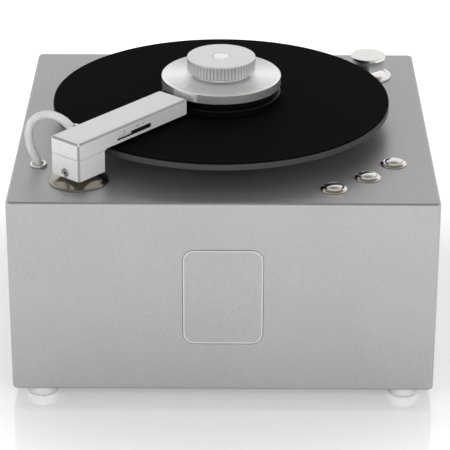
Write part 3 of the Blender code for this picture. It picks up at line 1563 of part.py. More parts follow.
def make_drain():
    """The drain valve from the tank through the rear panel, and its quarter-turn tap."""
    spot = empty("drain_axis", (DRAIN_X, 0.0, DRAIN_HEIGHT), TOP)
    end = REAR_FACE + DRAIN_BARREL_REACH
    start = TANK_BACK + FIT
    stem_hole = TAP_STEM_RADIUS + FIT
    tip = end - TAP_STEM_LENGTH - 2 * FIT
    valve = turned(
        "drain_valve",
        [
            (stem_hole, end),
            (DRAIN_RADIUS, end),
            (DRAIN_RADIUS, start),
            (DRAIN_TAIL_RADIUS, start),
            (DRAIN_TAIL_RADIUS, start - DRAIN_TAIL_LENGTH),
            (0.0, start - DRAIN_TAIL_LENGTH),
            (0.0, tip),
            (stem_hole, tip),
        ],
        SMALL,
        CHROME,
        spot,
        ring=True,
        axis="Y",
    )
    spout_y = REAR_FACE + DRAIN_SPOUT_RADIUS + FIT
    spout = turned(
        "drain_spout",
        [
            (0.0, -DRAIN_RADIUS / 2),
            (DRAIN_SPOUT_RADIUS, -DRAIN_RADIUS / 2),
            (DRAIN_SPOUT_RADIUS, -DRAIN_SPOUT_DROP),
            (0.0, -DRAIN_SPOUT_DROP),
        ],
        SMALL,
        None,
        spot,
        at=(0.0, spout_y, 0.0),
    )
    add_shape(valve, spout)
    plate = end + FIT
    tap = box(
        "drain_tap",
        (-TAP_LENGTH / 2, plate, -TAP_WIDTH / 2),
        (TAP_LENGTH / 2, REAR_FACE + REAR_REACH, TAP_WIDTH / 2),
        CHROME,
        spot,
    )
    inner = end - TAP_STEM_LENGTH
    stem = turned(
        "tap_stem",
        [(0.0, plate + FIT), (TAP_STEM_RADIUS, plate + FIT), (TAP_STEM_RADIUS, inner), (0.0, inner)],
        SMALL,
        None,
        spot,
        axis="Y",
    )
    add_shape(tap, stem)


def make_electrics():
    """The power supply's case and the control board on its pillars."""
    low = TOP_OF_TRAY + FIT
    box(
        "power_supply",
        (SUPPLY_LEFT, SUPPLY_FRONT, low),
        (SUPPLY_RIGHT, SUPPLY_BACK, low + SUPPLY_HEIGHT),
        STEEL,
        TOP,
        SUPPLY_ROUNDING,
        1,
    )
    base = low + BOARD_RISE
    board_top = base + BOARD_THICKNESS
    board_low, board_high = (BOARD_LEFT, SUPPLY_FRONT, base), (BOARD_RIGHT, BOARD_BACK, board_top)
    board = box("control_board", board_low, board_high, BOARD_GREEN, TOP)
    inset_x = (BOARD_RIGHT - BOARD_LEFT) * BOARD_CHIP_INSET_SHARE
    inset_y = (BOARD_BACK - SUPPLY_FRONT) * BOARD_CHIP_INSET_SHARE
    chip = box(
        "board_chip",
        (BOARD_LEFT + inset_x, SUPPLY_FRONT + inset_y, (base + board_top) / 2),
        (BOARD_RIGHT - inset_x, BOARD_BACK - inset_y, board_top + BOARD_CHIP_HEIGHT),
        None,
        TOP,
    )
    add_shape(board, chip)
    for number, (x, y) in enumerate((
        (BOARD_LEFT + PILLAR_INSET, SUPPLY_FRONT + PILLAR_INSET),
        (BOARD_RIGHT - PILLAR_INSET, SUPPLY_FRONT + PILLAR_INSET),
        (BOARD_RIGHT - PILLAR_INSET, BOARD_BACK - PILLAR_INSET),
        (BOARD_LEFT + PILLAR_INSET, BOARD_BACK - PILLAR_INSET),
    )):
        middle = (base + board_top) / 2
        pillar = turned(
            f"board_pillar_{number}",
            [(0.0, middle), (PILLAR_RADIUS, middle), (PILLAR_RADIUS, low), (0.0, low)],
            TINY,
            None,
            TOP,
            at=(x, y, 0.0),
        )
        add_shape(board, pillar)


for old in list(bpy.data.objects):
    bpy.data.objects.remove(old)

PARTS = collection("record_cleaning_machine")
CUTTERS = collection("cutters")

SATIN = finish("satin_aluminium", (0.62, 0.62, 0.63), 0.85, 0.42)
CHROME = finish("chrome", (0.78, 0.76, 0.74), 1.0, 0.08)
STEEL = finish("steel", (0.45, 0.46, 0.47), 1.0, 0.4)
PLATTER_GREY = finish("platter_grey", (0.12, 0.12, 0.125), 0.4, 0.45)
MATT_BLACK = finish("matt_black", (0.008, 0.008, 0.008), 0.0, 0.9)
BLACK_RUBBER = finish("black_rubber", (0.012, 0.012, 0.012), 0.0, 0.7)
VELVET = finish("velvet", (0.01, 0.01, 0.012), 0.0, 1.0)
GLOSS_BLACK = finish("gloss_black", (0.006, 0.006, 0.006), 0.0, 0.08)
PALE_RUBBER = finish("pale_rubber", (0.72, 0.72, 0.72), 0.0, 0.5)
CLEAR_HOSE = finish("clear_hose", (0.82, 0.83, 0.84), 0.0, 0.25)
BLACK_PAINT = finish("black_paint", (0.02, 0.02, 0.022), 0.0, 0.5)
BLACK_PLASTIC = finish("black_plastic", (0.02, 0.02, 0.02), 0.0, 0.35)
TANK_PLASTIC = finish("tank_plastic", (0.7, 0.72, 0.74), 0.0, 0.4)
BOARD_GREEN = finish("board_green", (0.02, 0.16, 0.06), 0.0, 0.4)

BUTTON_PLACES = [
    on_circle(BUTTON_CIRCLE_RADIUS, BUTTON_FIRST_ANGLE + BUTTON_ANGLE_STEP * number)
    for number in range(BUTTON_COUNT)
]
POST_PLACE = on_circle(POST_CIRCLE_RADIUS, POST_ANGLE)
ARM_PLACE = on_circle(ARM_CIRCLE_RADIUS, ARM_CIRCLE_ANGLE)
GROMMET_PLACE = (ARM_PLACE[0] - GROMMET_SIDE_OFFSET, ARM_PLACE[1] + GROMMET_BACK_OFFSET, 0.0)
FOOT_PLACES = [
    (x * (CASE_WIDTH / 2 - FOOT_SIDE_INSET), y * (CASE_DEPTH / 2 - FOOT_END_INSET), 0.0)
    for y in (-1, 1)
    for x in (-1, 1)
]

TOP = empty("casing_top", (0.0, (BADGE_STAND - REAR_REACH) / 2, FOOT_HEIGHT + CASE_HEIGHT))
SPINDLE = empty("spindle_axis", (SPINDLE_X, SPINDLE_Y, 0.0), TOP)
ARM = empty("arm_axis", ARM_PLACE, TOP, ARM_HEADING)
BLOWER = empty("blower_axis", (BLOWER_X, BLOWER_Y, 0.0), TOP)

make_casing()
make_badge()
make_tray_and_panel()
make_feet()
make_platter()
make_spindle()
make_bearings()
make_platter_motor()
make_clamp()
make_buttons()
make_rear_post()
make_arm_mount()
make_arm()
make_hoses()
make_tank()
make_blower()
make_inlet_and_switch()
make_drain()
make_electrics()
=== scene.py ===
"""The finished look of a record cleaning machine: surfaces, materials, lamps and camera.

Every piece is set round the machine's solid model, which the frame brings in. Lengths are in metres,
+Z is up and the badge faces -Y.
"""

import json
import math

import bmesh
import bpy
import numpy as np
from bpy.props import FloatProperty, FloatVectorProperty, IntProperty, PointerProperty
from mathutils import Matrix, Vector


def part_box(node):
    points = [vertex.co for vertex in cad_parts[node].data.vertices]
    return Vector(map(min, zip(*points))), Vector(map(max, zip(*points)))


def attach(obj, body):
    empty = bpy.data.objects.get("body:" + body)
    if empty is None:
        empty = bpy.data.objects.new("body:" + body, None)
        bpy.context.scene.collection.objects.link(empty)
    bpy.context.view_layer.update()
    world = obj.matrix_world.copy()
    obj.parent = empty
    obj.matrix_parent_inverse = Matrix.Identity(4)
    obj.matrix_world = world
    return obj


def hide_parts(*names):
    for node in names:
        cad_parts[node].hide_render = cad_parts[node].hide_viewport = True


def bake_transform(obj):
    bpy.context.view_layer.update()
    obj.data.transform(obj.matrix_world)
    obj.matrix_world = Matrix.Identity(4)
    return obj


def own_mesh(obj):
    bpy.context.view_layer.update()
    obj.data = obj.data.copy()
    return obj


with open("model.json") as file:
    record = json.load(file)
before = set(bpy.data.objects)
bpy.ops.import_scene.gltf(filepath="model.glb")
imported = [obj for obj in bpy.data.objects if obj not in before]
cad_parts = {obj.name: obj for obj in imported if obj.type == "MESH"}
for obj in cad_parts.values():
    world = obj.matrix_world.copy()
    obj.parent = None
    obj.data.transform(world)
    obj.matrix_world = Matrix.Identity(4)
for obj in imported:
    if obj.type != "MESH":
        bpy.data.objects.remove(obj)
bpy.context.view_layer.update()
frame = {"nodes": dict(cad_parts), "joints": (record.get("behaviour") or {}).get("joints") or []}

bl_info = {
    "name": "Record cleaning machine",
    "version": (1, 0, 0),
    "blender": (4, 5, 0),
    "location": "3D View > Sidebar > Record cleaner",
    "description": "Finished surfaces, materials and stage for a record cleaning machine",
    "category": "Add Mesh",
}


def corners_of(node):
    """Lowest and highest corner of a solid at rest."""
    low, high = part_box(node)
    return np.array(low), np.array(high)


def middle_of(node):
    """Middle of a solid's box."""
    low, high = corners_of(node)
    return (low + high) / 2


def spans(node):
    """Radius of an upright turned solid, and its lowest and highest point over the casing."""
    low, high = corners_of(node)
    return (high - low)[0] / 2, low[2] - DECK, high[2] - DECK


CASE_LOW, CASE_HIGH = corners_of("casing")
DECK = CASE_HIGH[2]
SPINDLE = middle_of("platter")[:2]
ARM_AXIS = middle_of("arm_flange")[:2]
ARM_ALONG = np.array(next(j["axis"] for j in frame["joints"] if j["name"] == "slider_travel"), float)[:2]
ARM_ACROSS = np.array((-ARM_ALONG[1], ARM_ALONG[0]))
DRAIN_AXIS = middle_of("drain_tap")
GROMMET = middle_of("hose_grommet")[:2]
UP = np.array((0.0, 0.0, 1.0))
BUTTONS = (1, 2, 3)

# Play between pieces, reach of a cutter past what it cuts, flat strip beside a rounding, distance at
# which points merge, and the angle from which an edge is shaded sharp
GAP = 0.0003
OVERRUN = 0.002
MARGIN = 0.00025
MERGE = 1e-6
CREASE = math.radians(32)

# Holes in the casing and the rear panel: radii, widths and heights, and the grille's slots
SPINDLE_HOLE = 0.0203
ARM_HOLE = 0.0130
DRAIN_HOLE = 0.0073
INLET_HOLE = (0.030, 0.022)
SWITCH_HOLE = (0.0185, 0.0265)
GRILLE_SLOTS = 7
GRILLE_HEIGHT = 0.042

# Small forms: shares are of the radius or height that they belong to
BEAD_RISE = 0.6
FOOT_ROUNDING = 0.0005
THREAD_STEPS = 10
THREAD_CREASE = math.radians(60)
SIZE_MARKS = (("12", 0.0365), ("10", 0.0520), ("7", 0.0600))
MARK_HEIGHT = 0.0336
MARK_THICKNESS = 0.00001
SET_SCREW_LENGTH = 0.0055
SLANTING = 0.6
COVE_POWER = 2.6
FLANGE_POWER = 1.2
LIP_OUTSIDE = 0.35
LIP_INSIDE = 0.25
SOCKET_SHARE = 0.45
SOCKET_FLOOR = 0.25
PAD_WIDTH = 0.0075
PAD_CORNER = 0.0024
PAD_EDGE = 0.0022
PAD_LEFT = 0.0002
BLADE_PLACES = ((-0.007, -0.002), (0.0, 0.002), (0.007, -0.002))
INLET_SCREW = (0.7, 0.0007)
ROCKER_FLAT = 0.45
ROCKER_POWER = 1.6
ROCKER_HEEL = 0.6
ROCKER_MARK = 0.55
ROCKER_RING = (0.0019, 0.0003)
ROCKER_BAR = (0.0003, 0.0017)
PRINT_RISE = 0.0001
VALVE_BORE = 0.0056
VALVE_NECK = 0.88
VALVE_GROOVE = (0.0035, 0.0042, 0.0085, 0.0092)
SPOUT_BORE = (0.0022, 0.0105)
TAP_WAIST = 0.74
TAP_END_POWER = 0.5
TAP_SIDE_POWER = 0.35
TAP_SECTIONS = ((0.96, 0.0), (1.0, 0.1), (1.0, 0.85), (0.95, 1.0))
TAP_SHAFT = 0.005

# Camera, fitted to the photograph: a 36 mm wide sensor behind a long lens
LENS = 178.608
SENSOR = 36.0
CAMERA_PLACE = (0.0081845, -1.7529369, 0.8903431)
CAMERA_PITCH = 0.434576
CAMERA_YAW = -0.004241
CAMERA_ROLL = 0.002491

# Lamps: setting, place and size
LAMPS = (
    ("left", (-1.3, -1.2, 0.7), 1.0),
    ("right", (0.8, -1.5, 0.7), 1.0),
    ("overhead", (0.0, 0.4, 1.7), 1.2),
)
# The floor's colour and its glow, near the machine and far from it, and the glow's share in mirrors
FLOOR_TINT = (0.62, 0.62, 0.62)
# The glow is weaker near the machine: a painted shade on the floor round it
GLOW_NEAR, GLOW_FAR = (0.27, 0.27, 0.27), (0.70, 0.70, 0.70)
GLOW_RANGE = (0.20, 0.45)
GLOW_MIRRORED = 0.55
# Parts of a direction between which the surroundings change, behind the machine and overhead
SKY_BACK_RANGE = (0.55, 0.88)
SKY_HIGH_RANGE = (0.45, 0.82)

# Points of the hoses' routes, measured from the middle of the casing's top face: over the casing from the
# grommet to the arm, inside it from the grommet to the tank, and from the tank to the blower
ROUTE_CENTRE = np.append((CASE_LOW + CASE_HIGH)[:2] / 2, DECK)
HOSE_ROUTE = (
    (-0.1499, -0.0921, 0.0012), (-0.1503, -0.0920, 0.0030), (-0.1514, -0.0916, 0.0062),
    (-0.1542, -0.0902, 0.0124), (-0.1563, -0.0882, 0.0192), (-0.1570, -0.0860, 0.0262),
    (-0.1555, -0.0842, 0.0322), (-0.1525, -0.0832, 0.0362), (-0.1486, -0.0828, 0.0388),
    (-0.1436, -0.0831, 0.0403), (-0.1383, -0.0842, 0.0405), (-0.1328, -0.0864, 0.0394),
    (-0.1284, -0.0888, 0.0377), (-0.1262, -0.0901, 0.0364), (-0.1245, -0.0913, 0.0351),
    (-0.1230, -0.0925, 0.0342), (-0.1216, -0.0937, 0.0336),
)
INNER_HOSE_ROUTE = (
    (-0.1495, -0.0921, -0.0004), (-0.1495, -0.0919, -0.0160), (-0.1490, -0.0880, -0.0320),
    (-0.1462, -0.0730, -0.0450), (-0.1425, -0.0530, -0.0530), (-0.1403, -0.0378, -0.0660),
    (-0.1400, -0.0350, -0.0780), (-0.1400, -0.0350, -0.0920),
)
PUMP_HOSE_ROUTE = (
    (-0.0950, 0.1200, -0.0920), (-0.0950, 0.1200, -0.0730), (-0.0950, 0.1200, -0.0690),
    (-0.0910, 0.1192, -0.0470), (-0.0680, 0.1140, -0.0270), (-0.0350, 0.1060, -0.0200),
    (0.0000, 0.0930, -0.0220), (0.0290, 0.0770, -0.0380), (0.0450, 0.0655, -0.0620),
    (0.0488, 0.0620, -0.0880), (0.0488, 0.0620, -0.1105),
)
PUMP_HOSE_SIDE = (0.374, 0.927, 0.0)


def length(name, description, default):
    """A length that a user can change."""
    return FloatProperty(name=name, description=description, default=default, min=0.0, precision=5,
                         unit="LENGTH")


def colour(name, description, default):
    """A colour that a user can change."""
    return FloatVectorProperty(name=name, description=description, default=default, size=3, min=0.0, max=1.0,
                               subtype="COLOR")


def amount(name, description, default, high=500.0):
    """A plain number from zero up."""
    return FloatProperty(name=name, description=description, default=default, min=0.0, max=high)


class CasingSizes(bpy.types.PropertyGroup):
    edge: length("Edge", "Radius of the casing's rounded edges", 0.0022)
    corner: length("Corner", "Radius of the casing's upright corners", 0.0045)
    wall: length("Wall", "Thickness of the casing's plate", 0.0050)
    window_side: length("Window side border", "Metal left beside the rear window", 0.018)
    window_top: length("Window top border", "Metal left over the rear window", 0.014)
    window_low: length("Window low border", "Metal left under the rear window", 0.0065)
    window_corner: length("Window corner", "Corner radius of the rear window", 0.006)
    badge_corner: length("Badge corner", "Corner radius of the blank plate", 0.009)
    badge_edge: length("Badge edge", "Width of the plate's bevel", 0.0004)
    bead: length("Badge bead", "Radius of the bright bead round the plate", 0.00055)
    bead_inset: length("Bead inset", "Distance from the plate's edge to the bead", 0.0009)
    foot_bulge: length("Foot bulge", "Height at which a foot is widest", 0.0040)
    foot_tread: length("Foot tread", "Radius of a foot's flat tread", 0.0108)
    foot_stem: length("Foot stem", "Radius of a foot's stem", 0.0040)


class TurntableSizes(bpy.types.PropertyGroup):
    platter_edge: length("Platter edge", "Rounding of the platter's rim", 0.0006)
    mat_edge: length("Mat edge", "Rounding of the mat's edge", 0.0003)
    hub: length("Hub", "Radius of the platter's hub", 0.032)
    hub_drop: length("Hub drop", "How far the hub reaches under the platter", 0.0079)
    pin: length("Pin", "Radius of the record pin", 0.0036)
    pitch: length("Thread pitch", "Rise of the pin's thread in one turn", 0.0010)
    thread: length("Thread depth", "Depth of the pin's thread", 0.0004)
    shaft: length("Shaft", "Radius of the spindle's shaft", 0.0057)
    flange: length("Drive flange", "Radius of the flange under the platter", 0.014)
    flange_thickness: length("Flange thickness", "Thickness of the drive flange", 0.003)


class ClampSizes(bpy.types.PropertyGroup):
    seal_rounding: length("Seal rounding", "Rounding of the seal's lip", 0.0015)
    seal_step: length("Seal lip height", "Height of the seal's wide lip", 0.0068)
    seal_neck: length("Seal neck", "Radius of the seal over its lip", 0.044)
    seal_bore: length("Seal bore", "Radius of the hole in the seal", 0.030)
    disc_chamfer: length("Disc chamfer", "Chamfer round the disc's top", 0.0010)
    boss_drop: length("Boss drop", "How far the disc's boss reaches down", 0.010)
    disc_thickness: length("Disc thickness", "Thickness of the disc at its edge", 0.0086)
    flutes: IntProperty(name="Flutes", description="Number of flutes round the knob", default=58, min=8)
    flute_depth: length("Flute depth", "Depth of a flute", 0.0012)
    knob_rim: length("Knob rim", "Height of the plain rim over the flutes", 0.0011)
    knob_edge: length("Knob edge", "Rounding at the knob's top", 0.0005)


class ButtonSizes(bpy.types.PropertyGroup):
    bevel: length("Bezel bevel", "Width of the bezel's sloping edge", 0.0026)
    barrel: length("Barrel", "Radius of the barrel under a bezel", 0.0083)
    floor: length("Barrel floor", "Thickness of the barrel's floor", 0.003)
    crown: length("Crown", "Rise of a cap's dome", 0.0010)
    rounding: length("Rounding", "Rounding of a bezel's edges", 0.0004)


class PostSizes(bpy.types.PropertyGroup):
    top: length("Top radius", "Radius of the post's top disc", 0.0155)
    waist: length("Waist radius", "Radius of the post's waist", 0.0138)
    lip: length("Lip", "Height of the top disc's edge", 0.0024)
    base: length("Base thickness", "Thickness of the post's foot", 0.0018)
    cove: length("Cove", "Reach of the curve between waist and foot", 0.0035)
    stud: length("Stud", "Radius of the stud through the casing", 0.003)
    dimple: length("Dimple", "Radius of the centre mark in the top", 0.0006)


class ArmSizes(bpy.types.PropertyGroup):
    width: length("Width", "Width of the arm", 0.031)
    reach: length("Reach", "Length of the arm beyond its axis", 0.1135)
    chamfer: length("Chamfer", "Width of the arm's chamfers", 0.0015)
    softness: length("Softness", "Rounding where two of the arm's faces meet", 0.00012)
    parting: length("Parting", "Height of the seam between block and beam", 0.0252)
    underside: length("Underside", "Height of the beam's underside", 0.0262)
    slot_start: length("Slot start", "Where the side slot starts", 0.029)
    slot_length: length("Slot length", "Length of the side slot", 0.0395)
    slot_low: length("Slot height", "Height of the slot's lower edge", 0.0287)
    slot_width: length("Slot width", "Width of the side slot", 0.0036)
    slot_depth: length("Slot depth", "Depth of the side slot", 0.0060)
    slot_corner: length("Slot corner", "Corner radius of the side slot", 0.0009)
    slider_inset: length("Slider inset", "Dark gap round the slider, and its depth", 0.00085)
    slider_length: length("Slider length", "Length of the size slider", 0.0172)
    channel_start: length("Channel start", "Where the suction slit starts", 0.020)
    channel_margin: length("Channel margin", "Metal left past the suction slit", 0.005)
    channel_width: length("Channel width", "Width of the suction slit", 0.005)
    channel_depth: length("Channel depth", "Depth of the suction slit", 0.007)
    screw_height: length("Screw height", "Height of the set screw", 0.0112)
    screw_radius: length("Screw radius", "Radius of the set screw", 0.0029)
    screw_flare: length("Screw flare", "Width of the countersink round the set screw", 0.0007)
    socket_radius: length("Socket radius", "Radius of the screw's hexagon", 0.0016)
    socket_depth: length("Socket depth", "Depth of the screw's hexagon", 0.0020)
    post: length("Arm post", "Radius of the shaft that the arm turns on", 0.009)
    flange: length("Flange", "Radius of the polished flange", 0.0241)
    flange_rim: length("Flange rim", "Height of the flange's rim", 0.0009)
    flange_lip: length("Flange lip", "Width of the flange's lip", 0.0007)
    flange_neck: length("Flange neck", "Radius at which the flange's sweep starts", 0.0125)
    lift: length("Lift", "How far the suction pulls the arm down", 0.0016)
    spring_wire: length("Spring wire", "Radius of the lift spring's wire", 0.0007)
    spring_turns: IntProperty(name="Spring turns", description="Turns of the lift spring", default=5, min=1)
    mark_size: length("Mark size", "Height of the size marks", 0.0030)


class HoseSizes(bpy.types.PropertyGroup):
    radius: length("Hose", "Outer radius of the suction hose", 0.0036)
    pump_radius: length("Pump hose", "Outer radius of the hose to the blower", 0.0060)
    free_length: length("Free length", "Length of the hose between grommet and arm", 0.0777)
    spigot_along: length("Spigot along", "Place of the spigot along the arm", 0.0165)
    spigot_height: length("Spigot height", "Height of the spigot", 0.0335)
    spigot_radius: length("Spigot", "Radius of the spigot's collar", 0.0046)
    spigot_length: length("Spigot length", "Length of the spigot's collar", 0.0035)
    spigot_tail: length("Spigot tail", "Radius of the spigot in the arm", 0.0030)
    tail_length: length("Tail length", "Length of the spigot in the arm", 0.0040)
    straight: length("Straight", "Straight end of the hose at the spigot", 0.0015)
    grommet: length("Grommet", "Radius of the grommet", 0.0069)
    grommet_height: length("Grommet height", "Height of the grommet", 0.0023)
    bore: length("Hose bore", "Inner radius of the suction hose", 0.0023)
    mouth: length("Grommet mouth", "Radius of the grommet's mouth", 0.0047)
    neck: length("Grommet neck", "Radius of the grommet through the casing", 0.0054)
    neck_length: length("Neck length", "Length of the grommet under the casing", 0.012)


class RearSizes(bpy.types.PropertyGroup):
    screw: length("Panel screw", "Radius of a panel screw's head", 0.0029)
    slot: length("Grille slot", "Width of a grille slot", 0.0035)
    slot_height: length("Slot height", "Height of a grille slot", 0.026)
    pitch: length("Slot pitch", "Distance between grille slots", 0.0055)
    inlet_width: length("Socket width", "Width of the mains socket's hollow", 0.024)
    inlet_height: length("Socket height", "Height of the mains socket's hollow", 0.016)
    inlet_depth: length("Socket depth", "Depth of the mains socket's hollow", 0.016)
    inlet_flange: length("Inlet flange", "Thickness of the flanges on the panel", 0.002)
    corner: length("Flange corner", "Corner radius of the flanges", 0.0015)
    inlet_wall: length("Socket wall", "Wall of the mains socket", 0.003)
    inlet_slant: length("Socket slant", "Cut corners of the socket's hollow", 0.004)
    blade: FloatVectorProperty(name="Blade", description="Width, height and length of a contact blade",
                               default=(0.002, 0.004, 0.009), size=3, precision=5, unit="LENGTH")
    screw_head: length("Screw head", "Height of a panel screw's head", 0.0014)
    screw_inset: length("Screw inset", "Distance of a screw from the window's edge", 0.0075)
    drain: length("Drain", "Radius of the drain valve", 0.007)
    drain_tail: length("Drain tail", "Radius of the valve's tail in the tank", 0.0045)
    drain_shoulder: length("Drain shoulder", "Length of the valve's tail in the tank", 0.006)
    spout: length("Spout", "Radius of the drain's spout", 0.0035)
    spout_drop: length("Spout drop", "How far the spout reaches down", 0.014)
    tap_stem: length("Tap stem", "Radius of the tap's stem", 0.0025)
    switch_border: length("Switch border", "Width of the switch's rim", 0.0035)


class Finishes(bpy.types.PropertyGroup):
    casing: colour("Casing", "Satin metal of the casing", (0.50, 0.50, 0.504))
    silver: colour("Silver", "Pale satin metal of the arm", (0.84, 0.84, 0.84))
    # Painted shade: the arm's chamfers get a darker copy of its metal
    shaded_chamfer: colour("Milled edges", "Darker metal of the arm's chamfers", (0.30, 0.30, 0.30))
    bead: colour("Bead", "Paler metal of the bead round the plate", (0.68, 0.68, 0.68))
    knob: colour("Knob", "Satin metal of the knob", (0.78, 0.78, 0.78))
    bright: colour("Bright metal", "Turned metal of the clamp", (0.94, 0.94, 0.94))
    chrome: colour("Chrome", "Polished metal", (0.84, 0.82, 0.80))
    smoked: colour("Smoked chrome", "Darker polished metal of the flange", (0.40, 0.36, 0.32))
    steel: colour("Steel", "Plain steel", (0.45, 0.46, 0.47))
    platter: colour("Platter", "Speckled grey of the platter", (0.050, 0.050, 0.052))
    mat: colour("Mat", "Matt black of the mat", (0.0022, 0.0022, 0.0017))
    seal: colour("Seal", "Glossy black of the seal", (0.003, 0.003, 0.003))
    feet: colour("Feet", "Pale rubber", (0.62, 0.62, 0.61))
    hose: colour("Hose", "Cloudy white tube", (0.86, 0.87, 0.87))
    velvet: colour("Velvet", "Pile of the pads", (0.010, 0.010, 0.012))
    paint: colour("Paint", "Powder coat of the rear panel", (0.020, 0.020, 0.022))
    plastic: colour("Plastic", "Moulded black plastic", (0.020, 0.020, 0.020))
    tank: colour("Tank", "Cloudy plastic of the tank", (0.70, 0.72, 0.74))
    board: colour("Board", "Lacquered circuit board", (0.020, 0.160, 0.060))
    ink: colour("Ink", "Size marks on the arm", (0.035, 0.035, 0.035))


class StageSettings(bpy.types.PropertyGroup):
    floor: length("Floor", "Half of the floor's width", 8.0)
    left: amount("Left lamp", "Power of the soft lamp at the front left", 9.0)
    right: amount("Right lamp", "Power of the soft lamp at the front right", 12.0)
    overhead: amount("Overhead lamp", "Power of the soft lamp over the machine", 9.0)
    sky: colour("Sky", "Surroundings near the floor", (1.0, 1.0, 1.0))
    sky_back: colour("Sky behind", "Surroundings low behind the machine", (0.93, 0.93, 0.93))
    sky_high: colour("Sky overhead", "Surroundings overhead", (0.170, 0.150, 0.125))


class MachineSettings(bpy.types.PropertyGroup):
    casing: PointerProperty(type=CasingSizes)
    turntable: PointerProperty(type=TurntableSizes)
    clamp: PointerProperty(type=ClampSizes)
    buttons: PointerProperty(type=ButtonSizes)
    post: PointerProperty(type=PostSizes)
    arm: PointerProperty(type=ArmSizes)
    hose: PointerProperty(type=HoseSizes)
    rear: PointerProperty(type=RearSizes)
    finishes: PointerProperty(type=Finishes)
    stage: PointerProperty(type=StageSettings)


def settings():
    """The sizes and colours as they stand."""
    return bpy.context.scene.record_cleaner


# Surfaces


def softened(corners, radii, steps=4, closed=False):
    """Rounds the corners of a profile in a plane.

    Each inner corner gives way to an arc that touches both of its sides: with a and b the unit vectors to
    its neighbours and h half the angle between them, the arc starts r / tan(h) along a, ends as far along
    b, and its centre lies r / sin(h) from the corner. One more point stands a margin beyond each end, so
    that flats stay flat when they are shaded. A radius of zero keeps the corner.
    """
    corners = np.asarray(corners, float)
    radii = np.broadcast_to(np.asarray(radii, float), len(corners))
    before, after = np.roll(corners, 1, 0), np.roll(corners, -1, 0)
    rows = []
    for number, (corner, radius) in enumerate(zip(corners, radii)):
        inner = closed or 0 < number < len(corners) - 1
        if not inner or radius == 0.0:
            rows.append(corner[None])
            continue
        back, on = before[number] - corner, after[number] - corner
        back, on = back / np.linalg.norm(back), on / np.linalg.norm(on)
        half = math.acos(np.clip(back @ on, -1.0, 1.0)) / 2
        reach = radius / math.tan(half)
        centre = corner + (back + on) / np.linalg.norm(back + on) * radius / math.sin(half)
        first, last = corner + back * reach - centre, corner + on * reach - centre
        turn = math.pi - 2 * half
        share = np.linspace(0.0, 1.0, steps + 1)[:, None]
        arc = centre + (np.sin((1 - share) * turn) * first + np.sin(share * turn) * last) / math.sin(turn)
        rows += [(corner + back * (reach + MARGIN))[None], arc, (corner + on * (reach + MARGIN))[None]]
    return np.concatenate(rows)


def circle(steps):
    """The angles of a full turn in equal steps."""
    return 2 * math.pi * np.arange(steps) / steps


def quarter(steps):
    """Angles from 0 to a right angle."""
    return np.linspace(0.0, math.pi / 2, steps)


def grid_faces(rows, columns, closed=False):
    """Corner numbers of the quads between the rows of a grid whose columns go round."""
    row = np.arange(rows if closed else rows - 1)[:, None]
    column = np.arange(columns)[None, :]
    next_row, next_column = (row + 1) % rows, (column + 1) % columns
    quads = (row * columns + column, row * columns + next_column,
             next_row * columns + next_column, next_row * columns + column)
    return np.stack(quads, -1).reshape(-1, 4).tolist()


def capped(rows, columns):
    """The quads of a grid whose columns go round, and a face over each end."""
    ends = [list(range(columns))[::-1], list(range((rows - 1) * columns, rows * columns))]
    return grid_faces(rows, columns) + ends


def turned(profile, segments=96, closed=False):
    """A turned surface: the point (r, z) of the profile goes round as (r cos a, r sin a, z)."""
    profile = np.asarray(profile, float)
    angle = circle(segments)
    radius, height = profile[:, :1], profile[:, 1:]
    points = np.stack((radius * np.cos(angle), radius * np.sin(angle), height + 0 * angle), -1)
    return points.reshape(-1, 3), grid_faces(len(profile), segments, closed)


def spun(corners, radii, segments, steps=4, closed=False):
    """A turned surface whose profile has rounded corners."""
    return turned(softened(corners, radii, steps, closed), segments, closed)


def washer(bore, node, rounding, segments):
    """A flat ring with rounded edges, as high and wide as a solid."""
    radius, low, high = spans(node)
    corners = [(bore, low), (radius, low), (radius, high), (bore, high)]
    return spun(corners, rounding, segments, 3, True)


def rod(radius, low, high, segments=48):
    """A plain cylinder."""
    return turned([(0, low), (radius, low), (radius, high), (0, high)], segments)


def dome(radius, height, steps, segments):
    """A domed head: the quarter ellipse (R cos a, H sin a), turned."""
    rows = np.stack((radius * np.cos(quarter(steps)), height * np.sin(quarter(steps))), 1)
    return turned(np.concatenate(([(0.0, 0.0)], rows)), segments)


def carried(corners, profile, rounding, keep=0.0, steps=4, ring=False):
    """A convex outline carried up a profile of (inset, height) rows and closed at both ends, or as a ring.

    At an inset d a corner with the outward normals n and m of its sides moves in by
    d (n + m) / (1 + n.m), and its arc keeps what d leaves of the rounding. One more point stands a margin
    before and after each arc.
    """
    corners, profile = np.asarray(corners, float), np.asarray(profile, float)
    side = np.roll(corners, -1, 0) - corners
    side /= np.linalg.norm(side, axis=1, keepdims=True)
    after = np.stack((side[:, 1], -side[:, 0]), 1)
    before = np.roll(after, 1, 0)
    cosine = (before * after).sum(1, keepdims=True)
    mitre = (before + after) / (1 + cosine)
    turn = np.arccos(np.clip(cosine, -1.0, 1.0))[:, None]
    share = np.linspace(0.0, 1.0, steps + 1)[None, :, None]
    arc = np.sin((1 - share) * turn) * before[:, None] + np.sin(share * turn) * after[:, None]
    arc /= np.sin(turn)
    arc = np.concatenate((before[:, None], arc, after[:, None]), 1)
    slide = np.zeros_like(arc)
    slide[:, 0], slide[:, -1] = -MARGIN * np.roll(side, 1, 0), MARGIN * side
    inset = profile[:, 0][:, None, None, None]
    left = np.maximum(rounding - inset, keep)
    flat = corners[None, :, None] - (inset + left) * mitre[None, :, None] + left * arc + slide
    flat = flat.reshape(len(profile), -1, 2)
    height = np.broadcast_to(profile[:, 1][:, None, None], flat.shape[:2] + (1,))
    rows, columns = flat.shape[:2]
    faces = grid_faces(rows, columns, True) if ring else capped(rows, columns)
    return np.concatenate((flat, height), -1).reshape(-1, 3), faces


